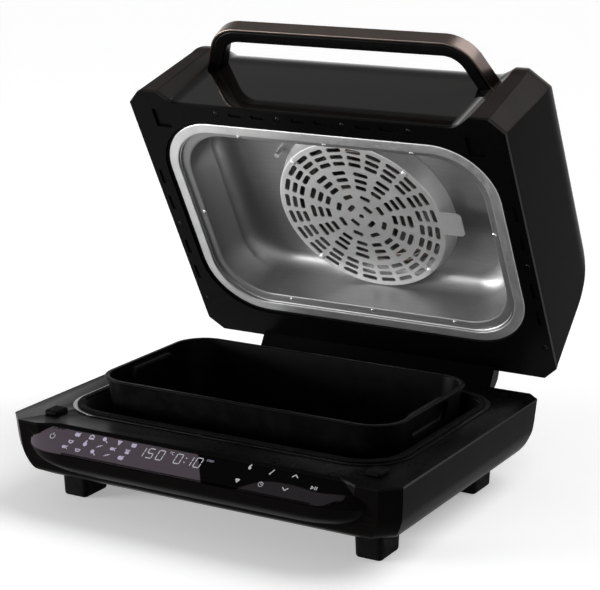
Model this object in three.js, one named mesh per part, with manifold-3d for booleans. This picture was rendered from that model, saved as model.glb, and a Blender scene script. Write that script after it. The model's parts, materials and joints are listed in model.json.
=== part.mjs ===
// Countertop air fryer oven with a hinged lid, standing open.
// Millimetres, +Z up. The origin is on the table, under the middle of the base.
// The lid is modelled closed and then turned open about its hinge axis.

import * as THREE from 'three';
import { mergeVertices } from 'three/addons/utils/BufferGeometryUtils.js';
import Module from 'manifold-3d';

const wasm = await Module();
wasm.setup();

// Angles, counts and shared clearances
const DEG = Math.PI / 180;
const GAP = 0.3;
const OVERRUN = 2;
const MERGE_DISTANCE = 0.0005;
const SLIVER_VOLUME = 0.5;
const SIMPLIFY_DISTANCE = 0.01;
const CORNER_STEPS = 6;
const FINE_STEPS = 7;
const TURN_STEPS = 36;
const PIN_STEPS = 12;
const BARREL_STEPS = 28;

// Base body
const BASE_WIDTH = 440;
const BASE_DEPTH = 336;
const DECK_Z = 90;
const DECK_THICKNESS = 3;
const TUB_BOTTOM_Z = 24;
const TUB_WALL = 2.6;
const SIDE_TUCK = 33;
const END_TUCK = 40;
const FRONT_CHAMFER = 17;
const REAR_CHAMFER = 14;
// Each row: height, side tuck and end tuck, as shares from the bottom of the tub to the deck
const TUB_PROFILE_SHARES = [
  [0, 1, 1],
  [0.045, 0.76, 0.75],
  [0.106, 0.545, 0.55],
  [0.212, 0.333, 0.25],
  [0.333, 0.197, 0.16],
  [0.515, 0.076, 0.09],
  [1, 0, 0],
];

// Console that carries the touch panel
const CONSOLE_REACH = 15;
const CONSOLE_SETBACK = 10.5;
const CONSOLE_BACK_INSET = 30;
const CONSOLE_SIDE_MARGIN = 28;
const CONSOLE_HALF = BASE_WIDTH / 2 - CONSOLE_SIDE_MARGIN;
const CONSOLE_WALL = 6.5;
const LIP_DROP = 23;
const RECESS_INSET = 34;
const RECESS_MOUTH_INSET = 12;
const RECESS_HALF = CONSOLE_HALF - RECESS_INSET;
const RECESS_MOUTH_HALF = CONSOLE_HALF - RECESS_MOUTH_INSET;
// Each row: height share, reach share, straight half share, whole half share, end reach share
const CONSOLE_SHARES = [
  [0.152, 0.02, 0.495, 0.68, 0],
  [0.242, 0.42, 0.547, 0.78, 0.27],
  [0.364, 0.755, 0.635, 0.917, 0.31],
  [0.5, 0.955, 0.703, 0.969, 0.4],
];
const LIP_STRAIGHT_SHARE = 0.729;
const LIP_END_SHARE = 0.49;
const TOP_STRAIGHT_SHARE = 0.78;
const TOP_WIDTH_SHARE = 1.01;

// Touch panel glass, measured down the slope from the deck edge
const GLASS_DEPTH = 3;
const GLASS_LEFT_INSET = 3;
const GLASS_LEFT_END = 36;
const GLASS_LEFT = CONSOLE_HALF - GLASS_LEFT_INSET;
const GLASS_LEFT_STRAIGHT = GLASS_LEFT - GLASS_LEFT_END;
const GLASS_LEFT_CENTRE = 17;
const GLASS_RIGHT_INSET = 14;
const GLASS_RIGHT_END = 38;
const GLASS_RIGHT = CONSOLE_HALF - GLASS_RIGHT_INSET;
const GLASS_RIGHT_STRAIGHT = GLASS_RIGHT - GLASS_RIGHT_END;
const GLASS_SLOPE_LENGTH = 33;
const GLASS_TOOL_INNER = 16;
const GLASS_TOOL_OUTER = 5;
const GLASS_END_STEPS = 6;

// Electronics in the base
const BOARD_THICKNESS = 1.6;
const DISPLAY_BOARD_LENGTH = 200;
const DISPLAY_BOARD_HEIGHT = 18;
const DISPLAY_BOARD_DROP = 10;
const POWER_BOARD_LENGTH = 220;
const POWER_BOARD_DEPTH = 30;
const POWER_BOARD_INSET = 34;
const POWER_BOARD_Y = POWER_BOARD_INSET - BASE_DEPTH / 2;
const POWER_BOARD_Z = 44;
const POST_RADIUS = 3;
const POST_INSET = 6;

// Well, its seal and the cooking pot
const WELL_Y = 7;
const WELL_SIDE_MARGIN = 28.7;
const WELL_END_MARGIN = 35.8;
const WELL_HALF_X = BASE_WIDTH / 2 - WELL_SIDE_MARGIN;
const WELL_HALF_Y = BASE_DEPTH / 2 - WELL_END_MARGIN;
const WELL_RADIUS = 50;
const WELL_FLANGE = 11.3;
const WELL_DECK_LAP = 2.3;
const WELL_WALL = 1.2;
const WELL_DRAFT = 8;
const WELL_FLOOR_Z = 34.5;
const SEAL_INSET = 4.3;
const SEAL_WIDTH = 7.4;
const SEAL_HEIGHT = 1.9;
const POT_Y = 10;
const POT_SIDE_GAP = 19;
const POT_END_GAP = 36.3;
const POT_HALF_X = WELL_HALF_X - POT_SIDE_GAP;
const POT_HALF_Y = WELL_HALF_Y - POT_END_GAP;
const POT_RADIUS = 35.5;
const POT_RIM_Z = 117;
const POT_RIM_WIDTH = 3;
const POT_RIM_HEIGHT = 2.6;
const POT_WALL = 2;
const POT_DRAFT = 8;
const POT_HEEL = 4;
const GRIP_LENGTH = 76;
const GRIP_HEIGHT = 22;
const GRIP_DROP = 6;
const GRIP_DEPTH = 9;

// Rubber stops on the deck
const STOP_INSET = 37;
const STOP_X = BASE_WIDTH / 2 - STOP_INSET;
const STOP_Y = STOP_INSET - BASE_DEPTH / 2;
const STOP_LENGTH = 20;
const STOP_WIDTH = 16;
const STOP_HEIGHT = 4.1;
const STOP_RADIUS = 3;
const STOP_CLEARANCE = 1.5;

// Feet, bottom cover and its screws
const FOOT_SIDE_INSET = 50.5;
const FOOT_END_INSET = 64.5;
const FOOT_X = BASE_WIDTH / 2 - FOOT_SIDE_INSET;
const FOOT_Y = BASE_DEPTH / 2 - FOOT_END_INSET;
const FOOT_WIDTH = 31;
const FOOT_LENGTH = 42;
const FOOT_TAPER = 2.5;
const FOOT_RADIUS = 6;
const COVER_SIDE_INSET = 70;
const COVER_END_INSET = 73;
const COVER_LENGTH = BASE_WIDTH - 2 * COVER_SIDE_INSET;
const COVER_DEPTH = BASE_DEPTH - 2 * COVER_END_INSET;
const COVER_THICKNESS = 2.3;
const COVER_LAP = 10;
const COVER_RADIUS = 12;
const VENT_COUNT = 7;
const VENT_LENGTH = 60;
const VENT_WIDTH = 5;
const VENT_PITCH = 16;
const SCREW_HEAD_RADIUS = 3.2;
const SCREW_SHANK_RADIUS = 1.6;
const SCREW_HEAD = 1.4;
const SCREW_LENGTH = 4;
const SCREW_STEPS = 8;

// Hinge
const OPEN_ANGLE = 61 * DEG;
const HINGE_STAND = 30.06;
const HINGE_Y = BASE_DEPTH / 2 + HINGE_STAND;
const HINGE_Z = 59.35;
const BARREL_RADIUS = 16;
const BARREL_HALF = 100;
const BARREL_CLEARANCE = 1.5;
const CHEEK_RADIUS = 17;
const CHEEK_GAP = 3;
const BARREL_END_CLEARANCE = 1;
const HOUSING_HALF = 146;
const HOUSING_DROP = 1.35;
const HOUSING_FRONT_INSET = 50;
const ARM_HALF = 145;
const ARM_CLEARANCE = 2.5;
const ARM_WEB = 5;
const ARM_FLANGE_RISE = 26;
const ARM_FLANGE_THICKNESS = 4.6;
const ARM_LAP = 5.5;
const ARM_NOSE_BACK_SHARE = 0.8;
const ARM_NOSE_RISE_SHARE = 0.55;
const PIN_RADIUS = 4;
const PIN_BORE_RADIUS = 4.4;
const PIN_DEPTH = 40;
const SPRING_RADIUS = 8.4;
const SPRING_LENGTH = 18;
const GLAND_X = -110;
const GLAND_Z = 40;
const GLAND_RADIUS = 8;
const GLAND_STAND = 5;
const GLAND_SEAT = 6;

// Lid shell, measured with the lid closed
const LID_Z = 92;
const LID_TOP_Z = 232;
const LID_SIDE_INSET = 2;
const LID_FRONT_INSET = 3;
const LID_REAR_OVERHANG = 9;
const LID_WIDTH = BASE_WIDTH - 2 * LID_SIDE_INSET;
const LID_FRONT = BASE_DEPTH / 2 - LID_FRONT_INSET;
const LID_REAR = BASE_DEPTH / 2 + LID_REAR_OVERHANG;
const LID_WALL = 2.6;
const LID_ROUND = 38;
const SIDE_ROUND_SHARE = 0.6;
const REAR_ROUND_RISE = 60;
const REAR_ROUND_TUCK = 80;
const REAR_ROUND_STEPS = 3;
const LID_FRONT_CHAMFER = 15.5;
const LID_REAR_CHAMFER = 16;
const CHAMFER_GROWTH_SHARE = 0.04;
const SIDE_LEAN_SHARE = 0.01;
const FRONT_LEAN_SHARE = 0.2;
const RECESS_LEAN_SHARE = 0.17;
const REAR_LEAN_SHARE = 0.26;
const NOTCH_DEPTH = 13.6;
const NOTCH_INSET = 61;
const NOTCH_HALF = LID_WIDTH / 2 - NOTCH_INSET;
const FLANK_WIDTH = 24;
const FLANK_STEPS = 6;
const ROUND_STEPS = 5;
const TOP_NOTCH_HALF_LOSS = 9;
const TOP_FLANK_LOSS = 5;
const TOP_CHAMFER_GAIN = 5;
const TOP_NOTCH_DEPTH_SHARE = 0.8;
const REAR_VENT_COUNT = 12;
const REAR_VENT_PITCH = 16;
const REAR_VENT_WIDTH = 6;
const REAR_VENT_LOW_Z = 160;
const REAR_VENT_HEIGHT = 26;

// Bezel, ring, gasket and liner
const BEZEL_THICKNESS = 4;
const RING_Y = 5.6;
const RING_SIDE_INSET = 22.2;
const RING_END_INSET = 39.6;
const RING_HALF_X = LID_WIDTH / 2 - RING_SIDE_INSET;
const RING_HALF_Y = (LID_FRONT + LID_REAR) / 2 - RING_END_INSET;
const RING_RADIUS = 67;
const RING_WIDTH = 11.4;
const RING_HEIGHT = 1.4;
const NIB_LENGTH = 7;
const NIB_REACH = 0.8;
const GASKET_WIDTH = 2.8;
const GASKET_HEIGHT = 2;
const LINER_WALL = 1.2;
const LINER_FLANGE = 8;
const LINER_LIP = 3;
const LEDGE_WIDTH = 9.8;
const LEDGE_SIDE = 8.3;
const LEDGE_RISE = 1;
const LINER_HEIGHT = 61;
const LINER_STRAIGHT = 19;
const LINER_SIDE_DRAFT = 8;
const LINER_END_DRAFT = 1.2;
const LINER_FILLET = 11;
const LINER_SIDE_FILLET = 14.5;
const LINER_END_FILLET = 9.5;
const FILLET_STEP_SHARE = 1 / 3;
const MOUTH_SIDE_INSET = 12.8;
const MOUTH_END_INSET = 10.1;
const MOUTH_HALF_X = RING_HALF_X - MOUTH_SIDE_INSET;
const MOUTH_HALF_Y = RING_HALF_Y - MOUTH_END_INSET;
const MOUTH_RADIUS = 59;

// Marks on the bezel: slots and screws along the front and the sides
const FRONT_PAIR_PITCH = 75;
const FRONT_SLOT_OFFSET = 13.5;
const FRONT_SLOT_LENGTH = 15;
const BEZEL_SLOT_WIDTH = 4;
const BEZEL_SLOT_DEPTH = 1.6;
const BEZEL_FRONT_INSET = 8.5;
const BEZEL_SIDE_INSET = 7.5;
const SIDE_SLOTS_Y = [-49, -12.5, 52, 89.5];
const SIDE_SLOT_LENGTH = 19;
const SIDE_SCREWS_Y = [19, 131];

// Fan cover, heater, fan and motor
const FAN_Y = 16.2;
const DISC_Z = 136;
const DISC_RADIUS = 99;
const SKIRT_RADIUS = 104;
const DISC_THICKNESS = 1.2;
const DISC_HOLE_RADIUS = 3;
const SLOT_WIDTH = 4;
// Each row: ring radius share of the disc, number of slots, slot length share of the disc
const SLOT_RING_SHARES = [
  [0.145, 4, 0.105],
  [0.275, 8, 0.11],
  [0.415, 14, 0.105],
  [0.505, 14, 0.115],
  [0.595, 14, 0.12],
  [0.82, 24, 0.125],
];
const TAB_WIDTH = 26;
const TAB_LENGTH = 16;
const TAB_THICKNESS = 1.4;
const COVER_SCREW_COUNT = 4;
const COVER_SCREW_RING_SHARE = 0.955;
const POCKET_RADIUS = 92;
const POCKET_HEIGHT = 25;
const SHAFT_HOLE_RADIUS = 6;
const COIL_TUBE_RADIUS = 3.3;
const COIL_OUTER = 85;
const COIL_INNER = 67;
const COIL_TURNS = 2;
const COIL_DROP = 21;
const COIL_STEPS_PER_TURN = 20;
const COIL_SIDES = 6;
const FAN_RADIUS = 54;
const FAN_HUB_RADIUS = 10;
const FAN_HEIGHT = 12;
const FAN_PLATE = 1.2;
const FAN_TOP_CLEARANCE = 5;
const BLADE_COUNT = 10;
const BLADE_THICKNESS = 1.4;
const SHAFT_RADIUS = 4;
const SHAFT_TAIL = 2;
const BRACKET_LENGTH = 110;
const BRACKET_DEPTH = 44;
const BRACKET_THICKNESS = 1.5;
const BRACKET_POST = 10;
const BRACKET_POST_X = 40;
const BRACKET_HEIGHT = 14;
const MOTOR_FLANGE = 2;
const MOTOR_RADIUS = 27;
const MOTOR_HEIGHT = 24;
const SHAFT_IN_MOTOR = 12;
const COOLING_FAN_RADIUS = 28;
const COOLING_FAN_HEIGHT = 6;
const COOLING_FAN_RISE = 4;
const COOLING_BLADE_COUNT = 8;
const SENSOR_X = -92;
const SENSOR_Y = -50;
const SENSOR_RADIUS = 3;
const SENSOR_LENGTH = 12;

// Handle, measured with the lid closed
const HANDLE_STAND = 26;
const HANDLE_FRONT = LID_FRONT + HANDLE_STAND;
const HANDLE_SECTION = 17;
const HANDLE_LOW_Z = 176;
const HANDLE_HEIGHT = 17;
const HANDLE_INSET = 37;
const HANDLE_STRAIGHT_HALF = NOTCH_HALF - HANDLE_INSET;
const HANDLE_BEND = 40;
const HANDLE_SPLAY = 24 * DEG;
const HANDLE_LEG = 52;
const HANDLE_STEPS = 6;
const TRIM_THICKNESS = 3;

// Colours and finishes
const finish = (color, roughness, metalness = 0) => (
  new THREE.MeshStandardMaterial({ color, roughness, metalness })
);

// Solid tools

// A closed three.js shape becomes a solid, with its faces turned outwards.
function solid(geometry) {
  const bare = new THREE.BufferGeometry();
  bare.setAttribute('position', geometry.getAttribute('position').clone());
  if (geometry.index) bare.setIndex(geometry.index.clone());
  const merged = mergeVertices(bare, MERGE_DISTANCE);
  const place = merged.getAttribute('position');
  const old = merged.index.array;
  const faces = [];
  const a = new THREE.Vector3();
  const b = new THREE.Vector3();
  const c = new THREE.Vector3();
  let volume = 0;
  for (let i = 0; i < old.length; i += 3) {
    const [p, q, r] = [old[i], old[i + 1], old[i + 2]];
    if (p === q || q === r || r === p) continue;
    faces.push(p, q, r);
    a.fromBufferAttribute(place, p);
    b.fromBufferAttribute(place, q);
    c.fromBufferAttribute(place, r);
    volume += a.dot(b.cross(c));
  }
  if (volume < 0) faces.reverse();
  return new wasm.Manifold(new wasm.Mesh({
    numProp: 3,
    vertProperties: new Float32Array(place.array),
    triVerts: new Uint32Array(faces),
  }));
}

// The faces that close one end of a loft.
function capFaces(outline, first, downwards) {
  const faces = [];
  for (const [i, j, k] of THREE.ShapeUtils.triangulateShape(outline, [])) {
    const turn = new THREE.Vector2().subVectors(outline[j], outline[i])
      .cross(new THREE.Vector2().subVectors(outline[k], outline[i]));
    const up = turn > 0 ? [i, j, k] : [i, k, j];
    if (downwards) up.reverse();
    faces.push(...up.map((corner) => first + corner));
  }
  return faces;
}

// A solid skin through outlines with equal numbers of points, from the lowest to the highest.
function loftGeometry(sections) {
  const count = sections[0].outline.length;
  const positions = [];
  const faces = [];
  for (const { outline, z } of sections) {
    for (const point of outline) positions.push(point.x, point.y, z);
  }
  for (let level = 0; level < sections.length - 1; level += 1) {
    for (let i = 0; i < count; i += 1) {
      const near = level * count + i;
      const next = level * count + (i + 1) % count;
      faces.push(near, next, next + count, near, next + count, near + count);
    }
  }
  const last = sections.length - 1;
  faces.push(...capFaces(sections[0].outline, 0, true));
  faces.push(...capFaces(sections[last].outline, last * count, false));
  const geometry = new THREE.BufferGeometry();
  geometry.setAttribute('position', new THREE.Float32BufferAttribute(positions, 3));
  geometry.setIndex(faces);
  return geometry;
}

const loft = (sections) => solid(loftGeometry(sections));

const prism = (outline, low, high) => loft([{ outline, z: low }, { outline, z: high }]);

// An outline in the YZ plane, drawn out along X.
function prismAlongX(outline, low, high) {
  const geometry = loftGeometry([{ outline, z: low }, { outline, z: high }]);
  geometry.applyMatrix4(new THREE.Matrix4().makeBasis(
    new THREE.Vector3(0, 1, 0),
    new THREE.Vector3(0, 0, 1),
    new THREE.Vector3(1, 0, 0),
  ));
  return solid(geometry);
}

function block(lowX, highX, lowY, highY, lowZ, highZ) {
  const geometry = new THREE.BoxGeometry(highX - lowX, highY - lowY, highZ - lowZ);
  geometry.translate((lowX + highX) / 2, (lowY + highY) / 2, (lowZ + highZ) / 2);
  return solid(geometry);
}

function circle(radius, steps, centreX = 0, centreY = 0) {
  return Array.from({ length: steps }, (unused, i) => new THREE.Vector2(
    centreX + radius * Math.cos(2 * Math.PI * i / steps),
    centreY + radius * Math.sin(2 * Math.PI * i / steps),
  ));
}

function roundedRect(halfX, halfY, radius, centreY = 0, steps = CORNER_STEPS, centreX = 0) {
  const points = [];
  for (const [sideX, sideY, start] of [[1, -1, -90], [1, 1, 0], [-1, 1, 90], [-1, -1, 180]]) {
    for (let i = 0; i <= steps; i += 1) {
      const angle = (start + 90 * i / steps) * DEG;
      points.push(new THREE.Vector2(
        centreX + sideX * (halfX - radius) + radius * Math.cos(angle),
        centreY + sideY * (halfY - radius) + radius * Math.sin(angle),
      ));
    }
  }
  return points;
}

// A profile of [radius, height] pairs, turned about an upright axis.
function turned(profile, centreY, steps = TURN_STEPS) {
  const geometry = new THREE.LatheGeometry(
    profile.map(([radius, z]) => new THREE.Vector2(radius, z)),
    steps,
  );
  geometry.rotateX(Math.PI / 2);
  geometry.translate(0, centreY, 0);
  return solid(geometry);
}

// An anticlockwise outline moved inwards by a distance, or outwards by a negative one.
function insetOutline(outline, distance) {
  return outline.map((point, i) => {
    const before = outline[(i + outline.length - 1) % outline.length];
    const after = outline[(i + 1) % outline.length];
    const inOne = new THREE.Vector2(before.y - point.y, point.x - before.x).normalize();
    const inTwo = new THREE.Vector2(point.y - after.y, after.x - point.x).normalize();
    const sum = inOne.clone().add(inTwo);
    return point.clone().addScaledVector(sum, distance / (1 + inOne.dot(inTwo)));
  });
}

// The values of a table row at a height share, between the rows above and below it.
function rowAt(table, share) {
  const top = table.findIndex((row) => row[0] >= share);
  if (top === 0) return table[0];
  if (top < 0) return table[table.length - 1];
  const [low, high] = [table[top - 1], table[top]];
  const t = (share - low[0]) / (high[0] - low[0]);
  return low.map((value, i) => value + (high[i] - value) * t);
}

// The heights of a loft: both ends, and each table row between them.
function heightsBetween(table, low, high) {
  const inner = table.map((row) => TUB_BOTTOM_Z + row[0] * (DECK_Z - TUB_BOTTOM_Z));
  return [low, ...inner.filter((z) => z > low + GAP && z < high - GAP), high];
}

const parts = new THREE.Group();

// A solid becomes a named mesh. Slivers that a cut leaves behind are dropped.
function addPiece(parent, name, shape, material) {
  const bodies = shape.decompose().filter((body) => Math.abs(body.volume()) > SLIVER_VOLUME);
  const mesh = wasm.Manifold.compose(bodies).simplify(SIMPLIFY_DISTANCE).getMesh();
  const geometry = new THREE.BufferGeometry();
  geometry.setAttribute('position', new THREE.BufferAttribute(mesh.vertProperties, 3));
  geometry.setIndex(new THREE.BufferAttribute(mesh.triVerts, 1));
  geometry.computeVertexNormals();
  const piece = new THREE.Mesh(geometry, material);
  piece.name = name;
  parent.add(piece);
  return piece;
}

// Base body

const tubHeight = DECK_Z - TUB_BOTTOM_Z;
const tubTop = DECK_Z - DECK_THICKNESS - GAP;
const chamferGrowthShare = 2 - Math.SQRT2;

function bodyOutline(z, grow) {
  const [, side, end] = rowAt(TUB_PROFILE_SHARES, (z - TUB_BOTTOM_Z) / tubHeight);
  const x = BASE_WIDTH / 2 - SIDE_TUCK * side + grow;
  const y = BASE_DEPTH / 2 - END_TUCK * end + grow;
  const front = FRONT_CHAMFER + grow * chamferGrowthShare;
  const rear = REAR_CHAMFER + grow * chamferGrowthShare;
  return [
    [-x + front, -y], [x - front, -y], [x, -y + front], [x, y - rear],
    [x - rear, y], [-x + rear, y], [-x, y - rear], [-x, -y + front],
  ].map(([px, py]) => new THREE.Vector2(px, py));
}

const lipFront = BASE_DEPTH / 2 + CONSOLE_REACH;
const consoleBack = BASE_DEPTH / 2 - CONSOLE_BACK_INSET;
const recessY = BASE_DEPTH / 2 - CONSOLE_SETBACK;
const consoleTopReachShare = (recessY - consoleBack) / (lipFront - consoleBack);
const consoleRows = [
  ...CONSOLE_SHARES,
  [1 - LIP_DROP / tubHeight, 1, LIP_STRAIGHT_SHARE, 1, LIP_END_SHARE],
  [1, consoleTopReachShare, TOP_STRAIGHT_SHARE, TOP_WIDTH_SHARE, consoleTopReachShare],
];

function consoleOutline(z, grow) {
  const row = rowAt(consoleRows, (z - TUB_BOTTOM_Z) / tubHeight);
  const [, reach, straight, half, endReach] = row;
  const front = consoleBack + (lipFront - consoleBack) * reach + grow;
  const end = Math.min(consoleBack + (lipFront - consoleBack) * endReach, front - GAP);
  const straightX = CONSOLE_HALF * straight;
  const halfX = CONSOLE_HALF * half + grow;
  const right = [];
  for (let i = 0; i <= CORNER_STEPS; i += 1) {
    const angle = Math.PI / 2 * i / CORNER_STEPS;
    right.push(new THREE.Vector2(
      straightX + (halfX - straightX) * Math.sin(angle),
      -end - (front - end) * Math.cos(angle),
    ));
  }
  right.push(new THREE.Vector2(halfX, -consoleBack + CONSOLE_BACK_INSET));
  const left = right.map((point) => new THREE.Vector2(-point.x, point.y)).reverse();
  return [...left, ...right];
}

function bodySolid(grow, low, high) {
  return loft(heightsBetween(TUB_PROFILE_SHARES, low, high)
    .map((z) => ({ outline: bodyOutline(z, grow), z })));
}

function consoleSolid(grow, high) {
  const low = TUB_BOTTOM_Z + CONSOLE_SHARES[0][0] * tubHeight;
  return loft(heightsBetween(consoleRows, low, high)
    .map((z) => ({ outline: consoleOutline(z, grow), z })));
}

// The recess in the front edge of the deck, above the console's lip
function recessTool(grow, high) {
  const inner = RECESS_HALF - grow;
  const mouth = RECESS_MOUTH_HALF - grow;
  const mouthY = -BASE_DEPTH / 2 - grow;
  const outerY = -lipFront - CONSOLE_BACK_INSET;
  return prism([
    new THREE.Vector2(-mouth, outerY),
    new THREE.Vector2(mouth, outerY),
    new THREE.Vector2(mouth, mouthY),
    new THREE.Vector2(inner, -recessY - grow),
    new THREE.Vector2(-inner, -recessY - grow),
    new THREE.Vector2(-mouth, mouthY),
  ], DECK_Z - LIP_DROP, high + OVERRUN);
}

// The base as one solid: the body, with the console let into its front.
function baseSolid(grow, consoleGrow, low, high) {
  const front = consoleSolid(consoleGrow, high);
  return bodySolid(grow, low, high).subtract(recessTool(grow, high).subtract(front)).add(front);
}

const baseOuter = baseSolid(0, 0, TUB_BOTTOM_Z, DECK_Z);
const baseGrown = baseSolid(GAP, GAP, TUB_BOTTOM_Z - GAP, DECK_Z + OVERRUN);
const farX = BASE_WIDTH;
const farY = BASE_WIDTH;

// Frame of the sloped panel: X along it, Y up the slope, Z outwards
const slope = new THREE.Vector3(0, lipFront - recessY, LIP_DROP).normalize();
const slopeOut = new THREE.Vector3(1, 0, 0).cross(slope);
const slopeFrame = new THREE.Matrix4()
  .makeBasis(new THREE.Vector3(1, 0, 0), slope, slopeOut)
  .setPosition(0, -recessY, DECK_Z);

function panelTool(clearance) {
  const bottom = -GLASS_SLOPE_LENGTH - clearance;
  const outline = [];
  const leftSpan = GLASS_LEFT - GLASS_LEFT_STRAIGHT + clearance;
  const rightSpan = GLASS_RIGHT - GLASS_RIGHT_STRAIGHT + clearance;
  for (let i = 0; i <= GLASS_END_STEPS; i += 1) {
    const angle = Math.PI / 2 * i / GLASS_END_STEPS;
    outline.push(new THREE.Vector2(
      -GLASS_LEFT_STRAIGHT - leftSpan * Math.cos(angle),
      -GLASS_LEFT_CENTRE + (bottom + GLASS_LEFT_CENTRE) * Math.sin(angle),
    ));
  }
  for (let i = 0; i <= GLASS_END_STEPS; i += 1) {
    const angle = Math.PI / 2 * i / GLASS_END_STEPS;
    outline.push(new THREE.Vector2(
      GLASS_RIGHT_STRAIGHT + rightSpan * Math.sin(angle),
      bottom * Math.cos(angle),
    ));
  }
  for (let i = 0; i < GLASS_END_STEPS; i += 1) {
    const angle = Math.PI / 2 * i / GLASS_END_STEPS;
    outline.push(new THREE.Vector2(
      -GLASS_LEFT_STRAIGHT - leftSpan * Math.sin(angle),
      GLASS_LEFT_CENTRE * (Math.cos(angle) - 1),
    ));
  }
  const geometry = loftGeometry([
    { outline, z: -GLASS_TOOL_INNER },
    { outline, z: GLASS_TOOL_OUTER },
  ]);
  geometry.applyMatrix4(slopeFrame);
  return solid(geometry);
}

// The outer layer of the console's slope, clear of the body on both sides of it.
function panelSkin(depth, clearance, top) {
  const high = DECK_Z + OVERRUN;
  const body = bodySolid(-clearance, TUB_BOTTOM_Z, high).subtract(recessTool(-clearance, high));
  return consoleSolid(0, high)
    .subtract(consoleSolid(-depth, high))
    .intersect(panelTool(clearance))
    .intersect(block(-farX, farX, -farY, 0, DECK_Z - LIP_DROP + GAP - clearance, top))
    .subtract(body);
}

function buildTub() {
  const shell = baseOuter
    .intersect(block(-farX, farX, -farY, farY, 0, tubTop))
    .subtract(baseSolid(-TUB_WALL, -CONSOLE_WALL, TUB_BOTTOM_Z + TUB_WALL, DECK_Z + OVERRUN));
  const posts = [-1, 1].flatMap((sideX) => [-1, 1].map((sideY) => prism(
    circle(
      POST_RADIUS,
      PIN_STEPS,
      sideX * (POWER_BOARD_LENGTH / 2 - POST_INSET),
      POWER_BOARD_Y + sideY * (POWER_BOARD_DEPTH / 2 - POST_INSET),
    ),
    TUB_BOTTOM_Z,
    POWER_BOARD_Z - GAP,
  ).intersect(baseOuter)));
  const hatch = prism(
    roundedRect(COVER_LENGTH / 2 - COVER_LAP, COVER_DEPTH / 2 - COVER_LAP, COVER_RADIUS),
    TUB_BOTTOM_Z - OVERRUN,
    TUB_BOTTOM_Z + TUB_WALL + OVERRUN,
  );
  const tub = posts.reduce((sum, post) => sum.add(post), shell)
    .subtract(hatch)
    .subtract(panelSkin(GLASS_DEPTH + GAP / slopeOut.z, GAP, DECK_Z));
  return coverScrewPlaces.reduce((sum, [x, y]) => sum.subtract(prism(
    circle(SCREW_SHANK_RADIUS + GAP, SCREW_STEPS, x, y),
    TUB_BOTTOM_Z - OVERRUN,
    TUB_BOTTOM_Z + TUB_WALL + OVERRUN,
  )), tub);
}

const coverScrewPlaces = [-1, 1].flatMap((sideX) => [-1, 1].map((sideY) => [
  sideX * (COVER_LENGTH / 2 - COVER_LAP / 2),
  sideY * (COVER_DEPTH / 2 - COVER_LAP / 2),
]));
const coverTop = TUB_BOTTOM_Z - GAP;
const coverLow = coverTop - COVER_THICKNESS;

function buildBottomCover() {
  let plate = prism(
    roundedRect(COVER_LENGTH / 2, COVER_DEPTH / 2, COVER_RADIUS),
    coverLow,
    coverTop,
  );
  for (let i = 0; i < VENT_COUNT; i += 1) {
    const x = (i - (VENT_COUNT - 1) / 2) * VENT_PITCH;
    plate = plate.subtract(block(
      x - VENT_WIDTH / 2,
      x + VENT_WIDTH / 2,
      -VENT_LENGTH / 2,
      VENT_LENGTH / 2,
      coverLow - OVERRUN,
      coverTop + OVERRUN,
    ));
  }
  return coverScrewPlaces.reduce((sum, [x, y]) => sum.subtract(prism(
    circle(SCREW_SHANK_RADIUS + GAP, SCREW_STEPS, x, y),
    coverLow - OVERRUN,
    coverTop + OVERRUN,
  )), plate);
}

// A screw whose head lies under a face, and whose shank points up.
function screwShape() {
  return prism(circle(SCREW_HEAD_RADIUS, SCREW_STEPS), -GAP - SCREW_HEAD, -GAP)
    .add(prism(circle(SCREW_SHANK_RADIUS, SCREW_STEPS), -GAP - SCREW_HEAD / 2, SCREW_LENGTH));
}

function buildFoot(sideX, sideY) {
  const low = roundedRect(
    FOOT_WIDTH / 2 - FOOT_TAPER,
    FOOT_LENGTH / 2 - FOOT_TAPER,
    FOOT_RADIUS - FOOT_TAPER,
    sideY * FOOT_Y,
    CORNER_STEPS,
    sideX * FOOT_X,
  );
  const high = roundedRect(
    FOOT_WIDTH / 2,
    FOOT_LENGTH / 2,
    FOOT_RADIUS,
    sideY * FOOT_Y,
    CORNER_STEPS,
    sideX * FOOT_X,
  );
  const swell = FOOT_TAPER;
  return loft([
    { outline: low, z: 0 },
    { outline: insetOutline(high, FOOT_TAPER / 2), z: swell },
    { outline: high, z: TUB_BOTTOM_Z + SCREW_LENGTH },
  ]).subtract(baseGrown);
}

const wellFloorTop = WELL_FLOOR_Z + WELL_WALL;
const linerFlangeLow = DECK_Z + GAP;
const linerFlangeTop = linerFlangeLow + WELL_WALL;
const wellHoleX = WELL_HALF_X - WELL_DECK_LAP;
const wellHoleY = WELL_HALF_Y - WELL_DECK_LAP;

function buildDeck() {
  return baseOuter
    .intersect(block(-farX, farX, -farY, farY, DECK_Z - DECK_THICKNESS, DECK_Z + OVERRUN))
    .subtract(prism(
      roundedRect(wellHoleX, wellHoleY, WELL_RADIUS - WELL_DECK_LAP, WELL_Y, FINE_STEPS),
      DECK_Z - DECK_THICKNESS - OVERRUN,
      DECK_Z + OVERRUN,
    ));
}

function buildWellLiner() {
  const x = WELL_HALF_X - WELL_FLANGE;
  const y = WELL_HALF_Y - WELL_FLANGE;
  const r = WELL_RADIUS - WELL_FLANGE;
  const rect = (inset) => roundedRect(x - inset, y - inset, r - inset / 2, WELL_Y, FINE_STEPS);
  const flange = prism(
    roundedRect(WELL_HALF_X, WELL_HALF_Y, WELL_RADIUS, WELL_Y, FINE_STEPS),
    linerFlangeLow,
    linerFlangeTop,
  );
  const outer = loft([
    { outline: rect(WELL_DRAFT - WELL_WALL), z: WELL_FLOOR_Z },
    { outline: rect(-WELL_WALL), z: linerFlangeTop },
  ]);
  const inner = loft([
    { outline: rect(WELL_DRAFT), z: wellFloorTop },
    { outline: rect(0), z: linerFlangeTop + OVERRUN },
  ]);
  return outer.add(flange).subtract(inner);
}

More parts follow.
